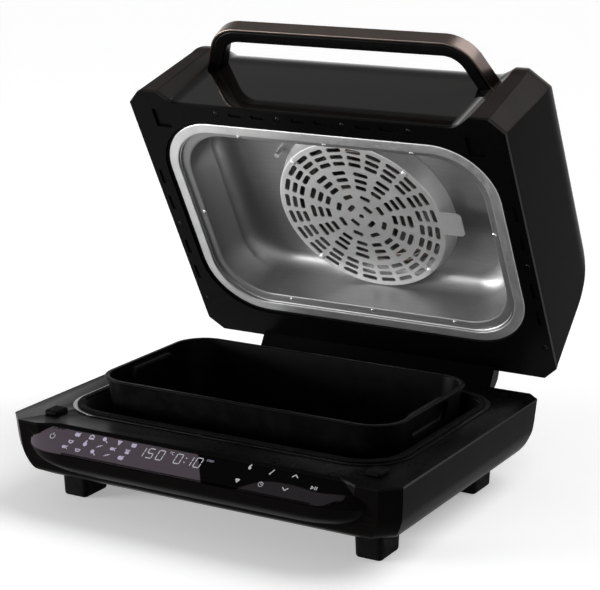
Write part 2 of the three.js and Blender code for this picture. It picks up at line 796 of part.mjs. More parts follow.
function buildWellSeal() {
  const x = WELL_HALF_X - SEAL_INSET;
  const y = WELL_HALF_Y - SEAL_INSET;
  const r = WELL_RADIUS - SEAL_INSET;
  const low = linerFlangeTop + GAP;
  const rim = roundedRect(x, y, r, WELL_Y, FINE_STEPS);
  return loft([
    { outline: rim, z: low },
    { outline: rim, z: low + SEAL_HEIGHT / 2 },
    { outline: insetOutline(rim, SEAL_HEIGHT / 2), z: low + SEAL_HEIGHT },
  ]).subtract(prism(
    roundedRect(x - SEAL_WIDTH, y - SEAL_WIDTH, r - SEAL_WIDTH, WELL_Y, FINE_STEPS),
    low - OVERRUN,
    low + SEAL_HEIGHT + OVERRUN,
  ));
}

const potLow = wellFloorTop + GAP;

function buildPot() {
  const x = POT_HALF_X - POT_RIM_WIDTH;
  const y = POT_HALF_Y - POT_RIM_WIDTH;
  const r = POT_RADIUS - POT_RIM_WIDTH;
  const rect = (inset) => roundedRect(x - inset, y - inset, r - inset / 2, POT_Y, FINE_STEPS);
  const outer = loft([
    { outline: rect(POT_DRAFT + POT_HEEL), z: potLow },
    { outline: rect(POT_DRAFT), z: potLow + POT_HEEL },
    { outline: rect(0), z: POT_RIM_Z - POT_RIM_HEIGHT / 2 },
  ]);
  const rimEdge = roundedRect(POT_HALF_X, POT_HALF_Y, POT_RADIUS, POT_Y, FINE_STEPS);
  const rim = prism(rimEdge, POT_RIM_Z - POT_RIM_HEIGHT, POT_RIM_Z);
  const inner = loft([
    { outline: rect(POT_DRAFT + POT_HEEL + POT_WALL), z: potLow + POT_WALL },
    { outline: rect(POT_DRAFT + POT_WALL), z: potLow + POT_WALL + POT_HEEL },
    { outline: rect(POT_WALL), z: POT_RIM_Z + OVERRUN },
  ]);
  let pot = outer.add(rim).subtract(inner);
  const gripTop = POT_RIM_Z - GRIP_DROP;
  const gripLow = gripTop - GRIP_HEIGHT;
  for (const side of [-1, 1]) {
    const place = (near, far, grow) => {
      const xs = [side * near, side * far].sort((one, two) => one - two);
      return block(
        xs[0],
        xs[1],
        POT_Y - GRIP_LENGTH / 2 - grow,
        POT_Y + GRIP_LENGTH / 2 + grow,
        gripLow - grow,
        gripTop + grow,
      );
    };
    pot = pot.add(place(x - GRIP_DEPTH - POT_WALL, x, POT_WALL).intersect(outer))
      .subtract(place(x - GRIP_DEPTH, POT_HALF_X + OVERRUN, 0));
  }
  return pot;
}

function buildStop(side) {
  const low = DECK_Z + GAP;
  const rim = roundedRect(
    STOP_WIDTH / 2,
    STOP_LENGTH / 2,
    STOP_RADIUS,
    STOP_Y,
    CORNER_STEPS,
    side * STOP_X,
  );
  return loft([
    { outline: rim, z: low },
    { outline: rim, z: low + STOP_HEIGHT - STOP_RADIUS / 2 },
    { outline: insetOutline(rim, STOP_RADIUS / 2), z: low + STOP_HEIGHT },
  ]);
}

// Hinge, in the base

const axisCircle = (radius, steps) => circle(radius, steps, HINGE_Y, HINGE_Z);
const cheekInner = BARREL_HALF + CHEEK_GAP;
const housingTop = HINGE_Z - HOUSING_DROP;
const housingRear = HINGE_Y + BARREL_RADIUS;

function pair(lowX, highX, outline) {
  return prismAlongX(outline, lowX, highX).add(prismAlongX(outline, -highX, -lowX));
}

const glandTool = (radius, low, high) => {
  const geometry = loftGeometry([
    { outline: circle(radius, PIN_STEPS), z: low },
    { outline: circle(radius, PIN_STEPS), z: high },
  ]);
  geometry.applyMatrix4(new THREE.Matrix4().makeBasis(
    new THREE.Vector3(1, 0, 0),
    new THREE.Vector3(0, 0, -1),
    new THREE.Vector3(0, 1, 0),
  ));
  geometry.translate(GLAND_X, 0, GLAND_Z);
  return solid(geometry);
};

function buildHousing() {
  return block(
    -HOUSING_HALF,
    HOUSING_HALF,
    BASE_DEPTH / 2 - HOUSING_FRONT_INSET,
    housingRear,
    TUB_BOTTOM_Z,
    housingTop,
  )
    .add(pair(cheekInner, HOUSING_HALF, axisCircle(CHEEK_RADIUS, BARREL_STEPS)))
    .subtract(baseGrown)
    .subtract(prismAlongX(
      axisCircle(BARREL_RADIUS + BARREL_CLEARANCE, BARREL_STEPS),
      -cheekInner + BARREL_END_CLEARANCE,
      cheekInner - BARREL_END_CLEARANCE,
    ))
    .subtract(pair(cheekInner - OVERRUN, HOUSING_HALF + OVERRUN, axisCircle(PIN_BORE_RADIUS, PIN_STEPS)))
    .subtract(glandTool(GLAND_RADIUS + GAP, housingRear - GLAND_SEAT, housingRear + OVERRUN));
}

// A pin or a spring sleeve on one side of the hinge.
function onAxis(side, near, far, outline) {
  const [low, high] = [side * near, side * far].sort((one, two) => one - two);
  return prismAlongX(outline, low, high);
}

const pinInner = BARREL_HALF - PIN_DEPTH;
const springOuter = BARREL_HALF - GAP;
const springInner = springOuter - SPRING_LENGTH;

// Lid shell

const roundLow = LID_TOP_Z - LID_ROUND;

// The lid's back leans in and then goes over into the top in one long round.
function rearAt(level) {
  const start = LID_TOP_Z - LID_Z - REAR_ROUND_RISE;
  const share = Math.min(Math.max((level - start) / REAR_ROUND_RISE, 0), 1);
  const tuck = REAR_ROUND_TUCK * (1 - Math.sqrt(1 - share * share));
  return LID_REAR - level * REAR_LEAN_SHARE - tuck;
}

function lidOutline(rise, tuck, level = rise) {
  const roundShare = tuck / LID_ROUND;
  const half = LID_WIDTH / 2 - rise * SIDE_LEAN_SHARE - tuck * SIDE_ROUND_SHARE;
  const front = -LID_FRONT + rise * FRONT_LEAN_SHARE + tuck;
  const rear = rearAt(level);
  const fullDepth = NOTCH_DEPTH + rise * (RECESS_LEAN_SHARE - FRONT_LEAN_SHARE);
  const depth = fullDepth * (1 - (1 - TOP_NOTCH_DEPTH_SHARE) * roundShare);
  const notch = NOTCH_HALF - TOP_NOTCH_HALF_LOSS * roundShare;
  const flank = FLANK_WIDTH - TOP_FLANK_LOSS * roundShare;
  const chamfer = LID_FRONT_CHAMFER + rise * CHAMFER_GROWTH_SHARE + TOP_CHAMFER_GAIN * roundShare;
  const right = [];
  for (let i = 0; i <= FLANK_STEPS; i += 1) {
    const t = 1 - i / FLANK_STEPS;
    right.push(new THREE.Vector2(
      notch + flank * (1 - t),
      front + depth * Math.sin(t * Math.PI / 2),
    ));
  }
  right.push(new THREE.Vector2(half - chamfer, front));
  right.push(new THREE.Vector2(half, front + chamfer));
  right.push(new THREE.Vector2(half, rear - LID_REAR_CHAMFER));
  right.push(new THREE.Vector2(half - LID_REAR_CHAMFER, rear));
  const left = right.map((point) => new THREE.Vector2(-point.x, point.y)).reverse();
  return [...left, ...right];
}

function lidSolid(grow, low) {
  const rearRoundLow = LID_TOP_Z - REAR_ROUND_RISE;
  const heights = [low];
  for (let i = 0; i <= REAR_ROUND_STEPS; i += 1) {
    heights.push(rearRoundLow + (roundLow - rearRoundLow) * i / REAR_ROUND_STEPS);
  }
  const sections = heights.map((z) => ({
    outline: insetOutline(lidOutline(z - LID_Z, 0), -grow),
    z,
  }));
  for (let i = 1; i <= ROUND_STEPS; i += 1) {
    const angle = Math.PI / 2 * i / ROUND_STEPS;
    const level = roundLow + LID_ROUND * Math.sin(angle) - LID_Z;
    sections.push({
      outline: insetOutline(
        lidOutline(roundLow - LID_Z, LID_ROUND * (1 - Math.cos(angle)), level),
        -grow,
      ),
      z: roundLow + (LID_ROUND + grow) * Math.sin(angle),
    });
  }
  return loft(sections);
}

const bezelTop = LID_Z + BEZEL_THICKNESS;
const shellLow = bezelTop + GAP;

function buildShell() {
  let shell = lidSolid(0, shellLow).subtract(lidSolid(-LID_WALL, shellLow - OVERRUN));
  for (let i = 0; i < REAR_VENT_COUNT; i += 1) {
    const x = (i - (REAR_VENT_COUNT - 1) / 2) * REAR_VENT_PITCH;
    shell = shell.subtract(block(
      x - REAR_VENT_WIDTH / 2,
      x + REAR_VENT_WIDTH / 2,
      LID_REAR - LID_ROUND,
      LID_REAR + OVERRUN,
      REAR_VENT_LOW_Z,
      REAR_VENT_LOW_Z + REAR_VENT_HEIGHT,
    ));
  }
  return shell;
}

const gasketOuter = RING_HALF_X + GAP + GASKET_WIDTH;
const gasketOuterY = RING_HALF_Y + GAP + GASKET_WIDTH;
const bezelHoleX = gasketOuter + GAP;
const bezelHoleY = gasketOuterY + GAP;
const bezelHoleRadius = RING_RADIUS + GASKET_WIDTH + 2 * GAP;

const bezelFrontY = -LID_FRONT + NOTCH_DEPTH + BEZEL_FRONT_INSET;
const bezelSideX = LID_WIDTH / 2 - BEZEL_SIDE_INSET;
const bezelScrewPlaces = [
  ...[-1.5, -0.5, 0.5, 1.5].map((step) => [step * FRONT_PAIR_PITCH, bezelFrontY]),
  ...SIDE_SCREWS_Y.flatMap((y) => [[-bezelSideX, y], [bezelSideX, y]]),
];

function buildBezel() {
  let bezel = loft([
    { outline: lidOutline(0, 0), z: LID_Z },
    { outline: lidOutline(BEZEL_THICKNESS, 0), z: bezelTop },
  ]).subtract(prism(
    roundedRect(bezelHoleX, bezelHoleY, bezelHoleRadius, RING_Y, FINE_STEPS),
    LID_Z - OVERRUN,
    bezelTop + OVERRUN,
  ));
  const recess = (x, y, lengthX, lengthY, depth) => {
    bezel = bezel.subtract(block(
      x - lengthX / 2,
      x + lengthX / 2,
      y - lengthY / 2,
      y + lengthY / 2,
      LID_Z - OVERRUN,
      LID_Z + depth,
    ));
  };
  for (const side of [-1, 1]) {
    recess(
      side * STOP_X,
      STOP_Y,
      STOP_WIDTH + 2 * STOP_CLEARANCE,
      STOP_LENGTH + 2 * STOP_CLEARANCE,
      DECK_Z + GAP + STOP_HEIGHT + GAP - LID_Z,
    );
    for (const y of SIDE_SLOTS_Y) {
      recess(side * bezelSideX, y, BEZEL_SLOT_WIDTH, SIDE_SLOT_LENGTH, BEZEL_SLOT_DEPTH);
    }
  }
  for (const step of [-1, 0, 1]) {
    for (const side of [-1, 1]) {
      recess(
        step * FRONT_PAIR_PITCH + side * FRONT_SLOT_OFFSET,
        bezelFrontY,
        FRONT_SLOT_LENGTH,
        BEZEL_SLOT_WIDTH,
        BEZEL_SLOT_DEPTH,
      );
    }
  }
  for (const [x, y] of bezelScrewPlaces) {
    bezel = bezel.subtract(prism(
      circle(SCREW_HEAD_RADIUS + GAP, SCREW_STEPS, x, y),
      LID_Z - OVERRUN,
      LID_Z + SCREW_HEAD + 2 * GAP,
    )).subtract(prism(
      circle(SCREW_SHANK_RADIUS + GAP, SCREW_STEPS, x, y),
      LID_Z - OVERRUN,
      bezelTop + OVERRUN,
    ));
  }
  return bezel;
}

const frameRing = (outset, radius, low, high, width) => prism(
  roundedRect(RING_HALF_X + outset, RING_HALF_Y + outset, radius + outset, RING_Y, FINE_STEPS),
  low,
  high,
).subtract(prism(
  roundedRect(
    RING_HALF_X + outset - width,
    RING_HALF_Y + outset - width,
    radius + outset - width,
    RING_Y,
    FINE_STEPS,
  ),
  low - OVERRUN,
  high + OVERRUN,
));

function buildRing() {
  const low = bezelTop - RING_HEIGHT;
  let ring = frameRing(0, RING_RADIUS, low, bezelTop, RING_WIDTH);
  for (const side of [-1, 1]) {
    ring = ring.subtract(block(
      Math.min(side * (RING_HALF_X - NIB_REACH), side * (RING_HALF_X + OVERRUN)),
      Math.max(side * (RING_HALF_X - NIB_REACH), side * (RING_HALF_X + OVERRUN)),
      RING_Y - NIB_LENGTH / 2,
      RING_Y + NIB_LENGTH / 2,
      low - OVERRUN,
      bezelTop + OVERRUN,
    ));
  }
  return ring;
}

const linerLow = bezelTop + GAP;
const linerRoof = LID_Z + BEZEL_THICKNESS + LINER_HEIGHT;
const pocketRoof = linerRoof + POCKET_HEIGHT;

// The liner's inner skin, moved outwards by a distance, from its mouth to its roof.
function linerSkin(grow, low) {
  const rect = (dx, dy, dr) => roundedRect(
    MOUTH_HALF_X - dx + grow,
    MOUTH_HALF_Y - dy + grow,
    MOUTH_RADIUS - dr + grow,
    RING_Y,
    FINE_STEPS,
  );
  const ledgeZ = linerLow + LINER_LIP;
  const wallX = LEDGE_SIDE + LINER_SIDE_DRAFT;
  const wallY = LEDGE_WIDTH + LINER_END_DRAFT;
  return loft([
    { outline: rect(0, 0, 0), z: low },
    { outline: rect(0, 0, 0), z: ledgeZ + grow },
    { outline: rect(LEDGE_SIDE, LEDGE_WIDTH, LEDGE_WIDTH / 2), z: ledgeZ + LEDGE_RISE + grow },
    { outline: rect(LEDGE_SIDE, LEDGE_WIDTH, LEDGE_WIDTH / 2), z: ledgeZ + LEDGE_RISE + LINER_STRAIGHT },
    { outline: rect(wallX, wallY, LEDGE_WIDTH), z: linerRoof - LINER_FILLET },
    {
      outline: rect(
        wallX + LINER_SIDE_FILLET * FILLET_STEP_SHARE,
        wallY + LINER_END_FILLET * FILLET_STEP_SHARE,
        LEDGE_WIDTH + LINER_SIDE_FILLET * FILLET_STEP_SHARE,
      ),
      z: linerRoof - LINER_FILLET * FILLET_STEP_SHARE + grow / 2,
    },
    {
      outline: rect(
        wallX + LINER_SIDE_FILLET,
        wallY + LINER_END_FILLET,
        LEDGE_WIDTH + LINER_END_FILLET,
      ),
      z: linerRoof + grow,
    },
  ]);
}

const fanRod = (radius, low, high, steps = TURN_STEPS) => (
  prism(circle(radius, steps, 0, FAN_Y), low, high)
);

function buildLiner() {
  const flange = prism(
    roundedRect(
      bezelHoleX + LINER_FLANGE,
      bezelHoleY + LINER_FLANGE,
      bezelHoleRadius + LINER_FLANGE,
      RING_Y,
      FINE_STEPS,
    ),
    linerLow,
    linerLow + LINER_WALL,
  );
  return linerSkin(LINER_WALL, linerLow)
    .add(flange)
    .add(fanRod(POCKET_RADIUS + LINER_WALL, linerRoof - LINER_WALL, pocketRoof + LINER_WALL))
    .subtract(linerSkin(0, linerLow - OVERRUN))
    .subtract(fanRod(POCKET_RADIUS, linerRoof - OVERRUN * 2, pocketRoof))
    .subtract(fanRod(SHAFT_HOLE_RADIUS, pocketRoof - OVERRUN, pocketRoof + OVERRUN * 2, PIN_STEPS));
}

const skirtTop = linerRoof - GAP;

function slotBlock(angle, radius, length) {
  const geometry = new THREE.BoxGeometry(SLOT_WIDTH, length, DISC_THICKNESS + 2 * OVERRUN);
  geometry.translate(radius, 0, DISC_Z + DISC_THICKNESS / 2);
  geometry.rotateZ(angle);
  geometry.translate(0, FAN_Y, 0);
  return solid(geometry);
}

const coverScrewAngles = Array.from(
  { length: COVER_SCREW_COUNT },
  (unused, i) => (i + 0.5) * 2 * Math.PI / COVER_SCREW_COUNT,
);

function buildFanCover() {
  const profile = [
    [DISC_HOLE_RADIUS, DISC_Z],
    [DISC_RADIUS, DISC_Z],
    [SKIRT_RADIUS, skirtTop],
    [SKIRT_RADIUS - DISC_THICKNESS, skirtTop],
    [DISC_RADIUS - DISC_THICKNESS, DISC_Z + DISC_THICKNESS],
    [DISC_HOLE_RADIUS, DISC_Z + DISC_THICKNESS],
    [DISC_HOLE_RADIUS, DISC_Z],
  ];
  const tab = block(
    DISC_RADIUS - OVERRUN,
    DISC_RADIUS + TAB_LENGTH,
    FAN_Y - TAB_WIDTH / 2,
    FAN_Y + TAB_WIDTH / 2,
    DISC_Z,
    DISC_Z + TAB_THICKNESS,
  );
  let slots;
  for (const [radiusShare, count, lengthShare] of SLOT_RING_SHARES) {
    for (let i = 0; i < count; i += 1) {
      const slot = slotBlock(
        2 * Math.PI * (i + 0.5) / count,
        radiusShare * DISC_RADIUS,
        lengthShare * DISC_RADIUS,
      );
      slots = slots ? slots.add(slot) : slot;
    }
  }
  let cover = turned(profile, FAN_Y).add(tab).subtract(slots)
    .intersect(linerSkin(-GAP, linerLow));
  for (const angle of coverScrewAngles) {
    cover = cover.subtract(coverScrewTool(angle, SCREW_SHANK_RADIUS + GAP));
  }
  return cover;
}

const coverScrewX = (angle) => COVER_SCREW_RING_SHARE * DISC_RADIUS * Math.cos(angle);
const coverScrewY = (angle) => FAN_Y + COVER_SCREW_RING_SHARE * DISC_RADIUS * Math.sin(angle);

const coverScrewTool = (angle, radius) => prism(
  circle(radius, SCREW_STEPS, coverScrewX(angle), coverScrewY(angle)),
  DISC_Z - OVERRUN,
  DISC_Z + DISC_THICKNESS + OVERRUN,
);

// Heating element: one tube, down from the pocket roof, round twice and up again.
function buildHeater() {
  const coilZ = pocketRoof - COIL_DROP;
  const coilTop = pocketRoof - GAP;
  const points = [];
  const steps = COIL_TURNS * COIL_STEPS_PER_TURN;
  const at = (i, z) => {
    const angle = 2 * Math.PI * i / COIL_STEPS_PER_TURN;
    const radius = COIL_OUTER + (COIL_INNER - COIL_OUTER) * i / steps;
    return new THREE.Vector3(radius * Math.cos(angle), FAN_Y + radius * Math.sin(angle), z);
  };
  points.push(at(0, coilTop));
  points.push(at(0, (coilTop + coilZ) / 2));
  for (let i = 1; i < steps; i += 1) points.push(at(i, coilZ));
  points.push(at(steps, (coilTop + coilZ) / 2));
  points.push(at(steps, coilTop));
  const section = new THREE.Shape(circle(COIL_TUBE_RADIUS, COIL_SIDES));
  return solid(new THREE.ExtrudeGeometry(section, {
    steps: points.length - 1,
    bevelEnabled: false,
    extrudePath: new THREE.CatmullRomCurve3(points),
  }));
}

const fanPlateTop = pocketRoof - FAN_TOP_CLEARANCE;
const fanPlateLow = fanPlateTop - FAN_PLATE;
const fanLow = fanPlateTop - FAN_HEIGHT;

function bladeSet(count, inner, outer, low, high, thickness) {
  let blades;
  for (let i = 0; i < count; i += 1) {
    const geometry = new THREE.BoxGeometry(outer - inner, thickness, high - low);
    geometry.translate((outer + inner) / 2, 0, (high + low) / 2);
    geometry.rotateZ(2 * Math.PI * i / count);
    geometry.translate(0, FAN_Y, 0);
    const blade = solid(geometry);
    blades = blades ? blades.add(blade) : blade;
  }
  return blades;
}

function buildFan() {
  return fanRod(FAN_RADIUS, fanPlateLow, fanPlateTop)
    .add(fanRod(FAN_HUB_RADIUS, fanLow, fanPlateTop, PIN_STEPS))
    .add(bladeSet(
      BLADE_COUNT,
      FAN_HUB_RADIUS / 2,
      FAN_RADIUS - BLADE_THICKNESS,
      fanLow,
      fanPlateTop - FAN_PLATE / 2,
      BLADE_THICKNESS,
    ))
    .subtract(fanRod(SHAFT_RADIUS + GAP, fanLow - OVERRUN, fanPlateTop + OVERRUN, PIN_STEPS));
}

const bracketLow = pocketRoof + LINER_WALL + GAP;
const bracketTop = bracketLow + BRACKET_HEIGHT;
const motorLow = bracketTop + GAP;
const motorCanLow = motorLow + MOTOR_FLANGE;
const coolingFanLow = bracketLow + BRACKET_THICKNESS + COOLING_FAN_RISE;

function buildBracket() {
  let bracket = block(
    -BRACKET_LENGTH / 2,
    BRACKET_LENGTH / 2,
    FAN_Y - BRACKET_DEPTH / 2,
    FAN_Y + BRACKET_DEPTH / 2,
    bracketLow,
    bracketLow + BRACKET_THICKNESS,
  );
  for (const side of [-1, 1]) {
    bracket = bracket.add(block(
      side * BRACKET_POST_X - BRACKET_POST / 2,
      side * BRACKET_POST_X + BRACKET_POST / 2,
      FAN_Y - BRACKET_POST / 2,
      FAN_Y + BRACKET_POST / 2,
      bracketLow,
      bracketTop,
    ));
  }
  return bracket.subtract(
    fanRod(SHAFT_HOLE_RADIUS, bracketLow - OVERRUN, bracketLow + BRACKET_THICKNESS + OVERRUN, PIN_STEPS),
  );
}

function buildMotor() {
  return block(
    -BRACKET_POST_X - BRACKET_POST / 2,
    BRACKET_POST_X + BRACKET_POST / 2,
    FAN_Y - BRACKET_POST / 2,
    FAN_Y + BRACKET_POST / 2,
    motorLow,
    motorCanLow,
  )
    .add(fanRod(MOTOR_RADIUS, motorLow, motorCanLow + MOTOR_HEIGHT))
    .subtract(fanRod(SHAFT_RADIUS + GAP, motorLow - OVERRUN, motorLow + SHAFT_IN_MOTOR, PIN_STEPS));
}

function buildCoolingFan() {
  const high = coolingFanLow + COOLING_FAN_HEIGHT;
  return fanRod(FAN_HUB_RADIUS, coolingFanLow, high, PIN_STEPS)
    .add(bladeSet(
      COOLING_BLADE_COUNT,
      FAN_HUB_RADIUS / 2,
      COOLING_FAN_RADIUS,
      coolingFanLow,
      high,
      BLADE_THICKNESS,
    ))
    .subtract(fanRod(SHAFT_RADIUS + GAP, coolingFanLow - OVERRUN, high + OVERRUN, PIN_STEPS));
}

function buildShaft() {
  return fanRod(SHAFT_RADIUS, fanLow - SHAFT_TAIL, motorLow + SHAFT_IN_MOTOR - GAP, PIN_STEPS);
}

function buildSensor() {
  return prism(
    circle(SENSOR_RADIUS, PIN_STEPS, SENSOR_X, SENSOR_Y),
    linerRoof - GAP - SENSOR_LENGTH,
    linerRoof - GAP,
  );
}

// Handle

// One line of the handle in plan, a distance behind its front face.
function handleLine(inset) {
  const centreX = HANDLE_STRAIGHT_HALF;
  const centreY = -HANDLE_FRONT + HANDLE_BEND;
  const radius = HANDLE_BEND - inset;
  const right = [];
  const turn = Math.PI / 2 - HANDLE_SPLAY;
  for (let i = 0; i <= HANDLE_STEPS; i += 1) {
    const angle = -Math.PI / 2 + turn * i / HANDLE_STEPS;
    right.push(new THREE.Vector2(
      centreX + radius * Math.cos(angle),
      centreY + radius * Math.sin(angle),
    ));
  }
  const end = right[right.length - 1];
  right.push(new THREE.Vector2(
    end.x + HANDLE_LEG * Math.sin(HANDLE_SPLAY),
    end.y + HANDLE_LEG * Math.cos(HANDLE_SPLAY),
  ));
  const left = right.map((point) => new THREE.Vector2(-point.x, point.y)).reverse();
  return [...left, ...right];
}

function handleLayer(front, back) {
  const outline = [...handleLine(front), ...handleLine(back).reverse()];
  return prism(outline, HANDLE_LOW_Z, HANDLE_LOW_Z + HANDLE_HEIGHT)
    .subtract(lidSolid(GAP, HANDLE_LOW_Z - LID_ROUND));
}

// Hinge, on the lid

function buildHingeArm() {
  const armAt = (z) => rearAt(z - LID_Z) + GAP;
  const flangeTop = LID_Z + ARM_FLANGE_RISE;
  const underLid = LID_Z - GAP;
  const web = [
    [HINGE_Y, HINGE_Z],
    [armAt(LID_Z) + ARM_FLANGE_THICKNESS + BARREL_RADIUS / 2, underLid],
    [armAt(LID_Z) + ARM_FLANGE_THICKNESS, bezelTop + ARM_WEB],
    [armAt(flangeTop) + ARM_FLANGE_THICKNESS, flangeTop],
    [armAt(flangeTop), flangeTop],
    [armAt(LID_Z), LID_Z],
    [armAt(LID_Z), underLid],
    [armAt(LID_Z) - ARM_LAP, underLid],
    [armAt(LID_Z) - ARM_LAP + ARM_WEB / 2, underLid - ARM_WEB],
    [HINGE_Y - BARREL_RADIUS * ARM_NOSE_BACK_SHARE, HINGE_Z + BARREL_RADIUS * ARM_NOSE_RISE_SHARE],
  ].map(([y, z]) => new THREE.Vector2(y, z));
  return prismAlongX(web, -ARM_HALF, ARM_HALF)
    .subtract(pair(
      BARREL_HALF,
      ARM_HALF + OVERRUN,
      axisCircle(CHEEK_RADIUS + ARM_CLEARANCE, BARREL_STEPS),
    ))
    .add(prismAlongX(axisCircle(BARREL_RADIUS, BARREL_STEPS), -BARREL_HALF, BARREL_HALF))
    .subtract(pair(pinInner - GAP, BARREL_HALF + OVERRUN, axisCircle(PIN_BORE_RADIUS, PIN_STEPS)))
    .subtract(pair(
      springInner - GAP,
      BARREL_HALF + OVERRUN,
      axisCircle(SPRING_RADIUS + 2 * GAP, PIN_STEPS),
    ));
}

// The base and the pot, in place

addPiece(parts, 'base_tub', buildTub(), finish(0x0b0a0b, 0.3));
addPiece(parts, 'deck_cover', buildDeck(), finish(0x100e0f, 0.42));
addPiece(parts, 'bottom_cover', buildBottomCover(), finish(0x0d0d0d, 0.6));
addPiece(parts, 'control_panel_glass', panelSkin(GLASS_DEPTH, 0, tubTop), finish(0x2a2228, 0.06));
for (const [name, sideX, sideY] of [
  ['foot_front_left', -1, -1],
  ['foot_front_right', 1, -1],
  ['foot_rear_left', -1, 1],
  ['foot_rear_right', 1, 1],
]) {
  addPiece(parts, name, buildFoot(sideX, sideY), finish(0x070707, 0.7));
}
coverScrewPlaces.forEach(([x, y], i) => {
  const screw = addPiece(parts, `base_screw_${i + 1}`, screwShape(), finish(0x8a8a8a, 0.35, 1));
  screw.position.set(x, y, coverLow);
});

const displayBoard = addPiece(
  parts,
  'display_board',
  block(
    -DISPLAY_BOARD_LENGTH / 2,
    DISPLAY_BOARD_LENGTH / 2,
    -DISPLAY_BOARD_HEIGHT,
    0,
    -BOARD_THICKNESS,
    0,
  ),
  finish(0x123018, 0.5),
);
displayBoard.position.set(0, -recessY, DECK_Z)
  .addScaledVector(slope, -DISPLAY_BOARD_DROP)
  .addScaledVector(slopeOut, -CONSOLE_WALL * Math.abs(slopeOut.y) - GAP);
displayBoard.rotation.x = Math.atan2(slope.z, slope.y);

addPiece(parts, 'power_board', block(
  -POWER_BOARD_LENGTH / 2,
  POWER_BOARD_LENGTH / 2,
  POWER_BOARD_Y - POWER_BOARD_DEPTH / 2,
  POWER_BOARD_Y + POWER_BOARD_DEPTH / 2,
  POWER_BOARD_Z,
  POWER_BOARD_Z + BOARD_THICKNESS,
), finish(0x123018, 0.5));
addPiece(parts, 'well_liner', buildWellLiner(), finish(0x8c8c8e, 0.3, 1));
addPiece(parts, 'well_seal', buildWellSeal(), finish(0x090909, 0.5));
addPiece(parts, 'cooking_pot', buildPot(), finish(0x0c0c0c, 0.5));
addPiece(parts, 'lid_stop_left', buildStop(-1), finish(0x060606, 0.75));
addPiece(parts, 'lid_stop_right', buildStop(1), finish(0x060606, 0.75));
addPiece(parts, 'hinge_housing', buildHousing(), finish(0x080808, 0.5));
for (const [name, side] of [['left', -1], ['right', 1]]) {
  addPiece(
    parts,
    `hinge_pin_${name}`,
    onAxis(side, pinInner, HOUSING_HALF, axisCircle(PIN_RADIUS, PIN_STEPS)),
    finish(0x9a9a9a, 0.3, 1),
  );
  addPiece(
    parts,
    `hinge_spring_${name}`,
    onAxis(side, springInner, springOuter, axisCircle(SPRING_RADIUS, PIN_STEPS))
      .subtract(pair(springInner - OVERRUN, springOuter + OVERRUN, axisCircle(PIN_BORE_RADIUS, PIN_STEPS))),
    finish(0x777777, 0.35, 1),
  );
}
addPiece(
  parts,
  'cord_gland',
  glandTool(GLAND_RADIUS, housingRear - GLAND_SEAT + GAP, housingRear + GLAND_STAND),
  finish(0x080808, 0.7),
);

// The lid, modelled closed and turned open about the hinge axis

const lidTurn = new THREE.Group();
lidTurn.position.set(0, HINGE_Y, HINGE_Z);
lidTurn.rotation.x = -OPEN_ANGLE;
const lid = new THREE.Group();
lid.position.set(0, -HINGE_Y, -HINGE_Z);
lidTurn.add(lid);
parts.add(lidTurn);

addPiece(lid, 'lid_shell', buildShell(), finish(0x171112, 0.16));
addPiece(lid, 'lid_bezel', buildBezel(), finish(0x0f0d0e, 0.5));
addPiece(
  lid,
  'lid_gasket',
  frameRing(
    GAP + GASKET_WIDTH,
    RING_RADIUS,
    bezelTop - GASKET_HEIGHT,
    bezelTop,
    GASKET_WIDTH,
  ),
  finish(0x050505, 0.8),
);
addPiece(lid, 'steel_ring', buildRing(), finish(0xc4c4c6, 0.28, 1));
addPiece(lid, 'lid_liner', buildLiner(), finish(0x8f8f91, 0.34, 1));
addPiece(lid, 'fan_cover', buildFanCover(), finish(0xb9b9ba, 0.4, 1));
coverScrewAngles.forEach((angle, i) => {
  const screw = addPiece(lid, `fan_cover_screw_${i + 1}`, screwShape(), finish(0xa0a0a0, 0.3, 1));
  screw.position.set(coverScrewX(angle), coverScrewY(angle), DISC_Z);
});
bezelScrewPlaces.forEach(([x, y], i) => {
  const screw = addPiece(lid, `bezel_screw_${i + 1}`, screwShape(), finish(0x1a1a1a, 0.4, 1));
  screw.position.set(x, y, LID_Z + SCREW_HEAD + 2 * GAP);
});
addPiece(lid, 'heating_element', buildHeater(), finish(0x6f6a66, 0.4, 1));
addPiece(lid, 'temperature_sensor', buildSensor(), finish(0xb0b0b0, 0.3, 1));
addPiece(lid, 'motor_bracket', buildBracket(), finish(0x9c9c9c, 0.4, 1));
addPiece(lid, 'fan_motor', buildMotor(), finish(0x666666, 0.4, 1));
addPiece(lid, 'fan_shaft', buildShaft(), finish(0xb4b4b4, 0.25, 1));
addPiece(lid, 'fan_impeller', buildFan(), finish(0x9d9d9d, 0.4, 1));
addPiece(lid, 'cooling_fan', buildCoolingFan(), finish(0x2b2b2b, 0.5));
addPiece(lid, 'handle_bar', handleLayer(TRIM_THICKNESS + GAP, HANDLE_SECTION), finish(0x080808, 0.35));
addPiece(lid, 'handle_trim', handleLayer(0, TRIM_THICKNESS), finish(0x6d625c, 0.36, 1));
addPiece(lid, 'hinge_arm', buildHingeArm(), finish(0x080808, 0.5));

// The whole part is moved along Y, so that the origin lies under the middle of its box.
const box = new THREE.Box3().setFromObject(parts, true);
const oven = new THREE.Group();
parts.position.y = -(box.min.y + box.max.y) / 2;
oven.add(parts);

export default oven;
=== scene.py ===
# %% [markdown]
# # A countertop air fryer oven with its lid open
#
# This lesson dresses a packed mechanical model of an air fryer oven. The model already has every part
# in its true place, so each step here only asks: what does this piece look like on the real oven, and
# which of Blender's tools gives that look? Sizes are in millimetres until a piece is seated, because
# that is how a maker would measure them.

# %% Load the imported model
import json
import math

import bmesh
import bpy
from mathutils import Matrix, Vector


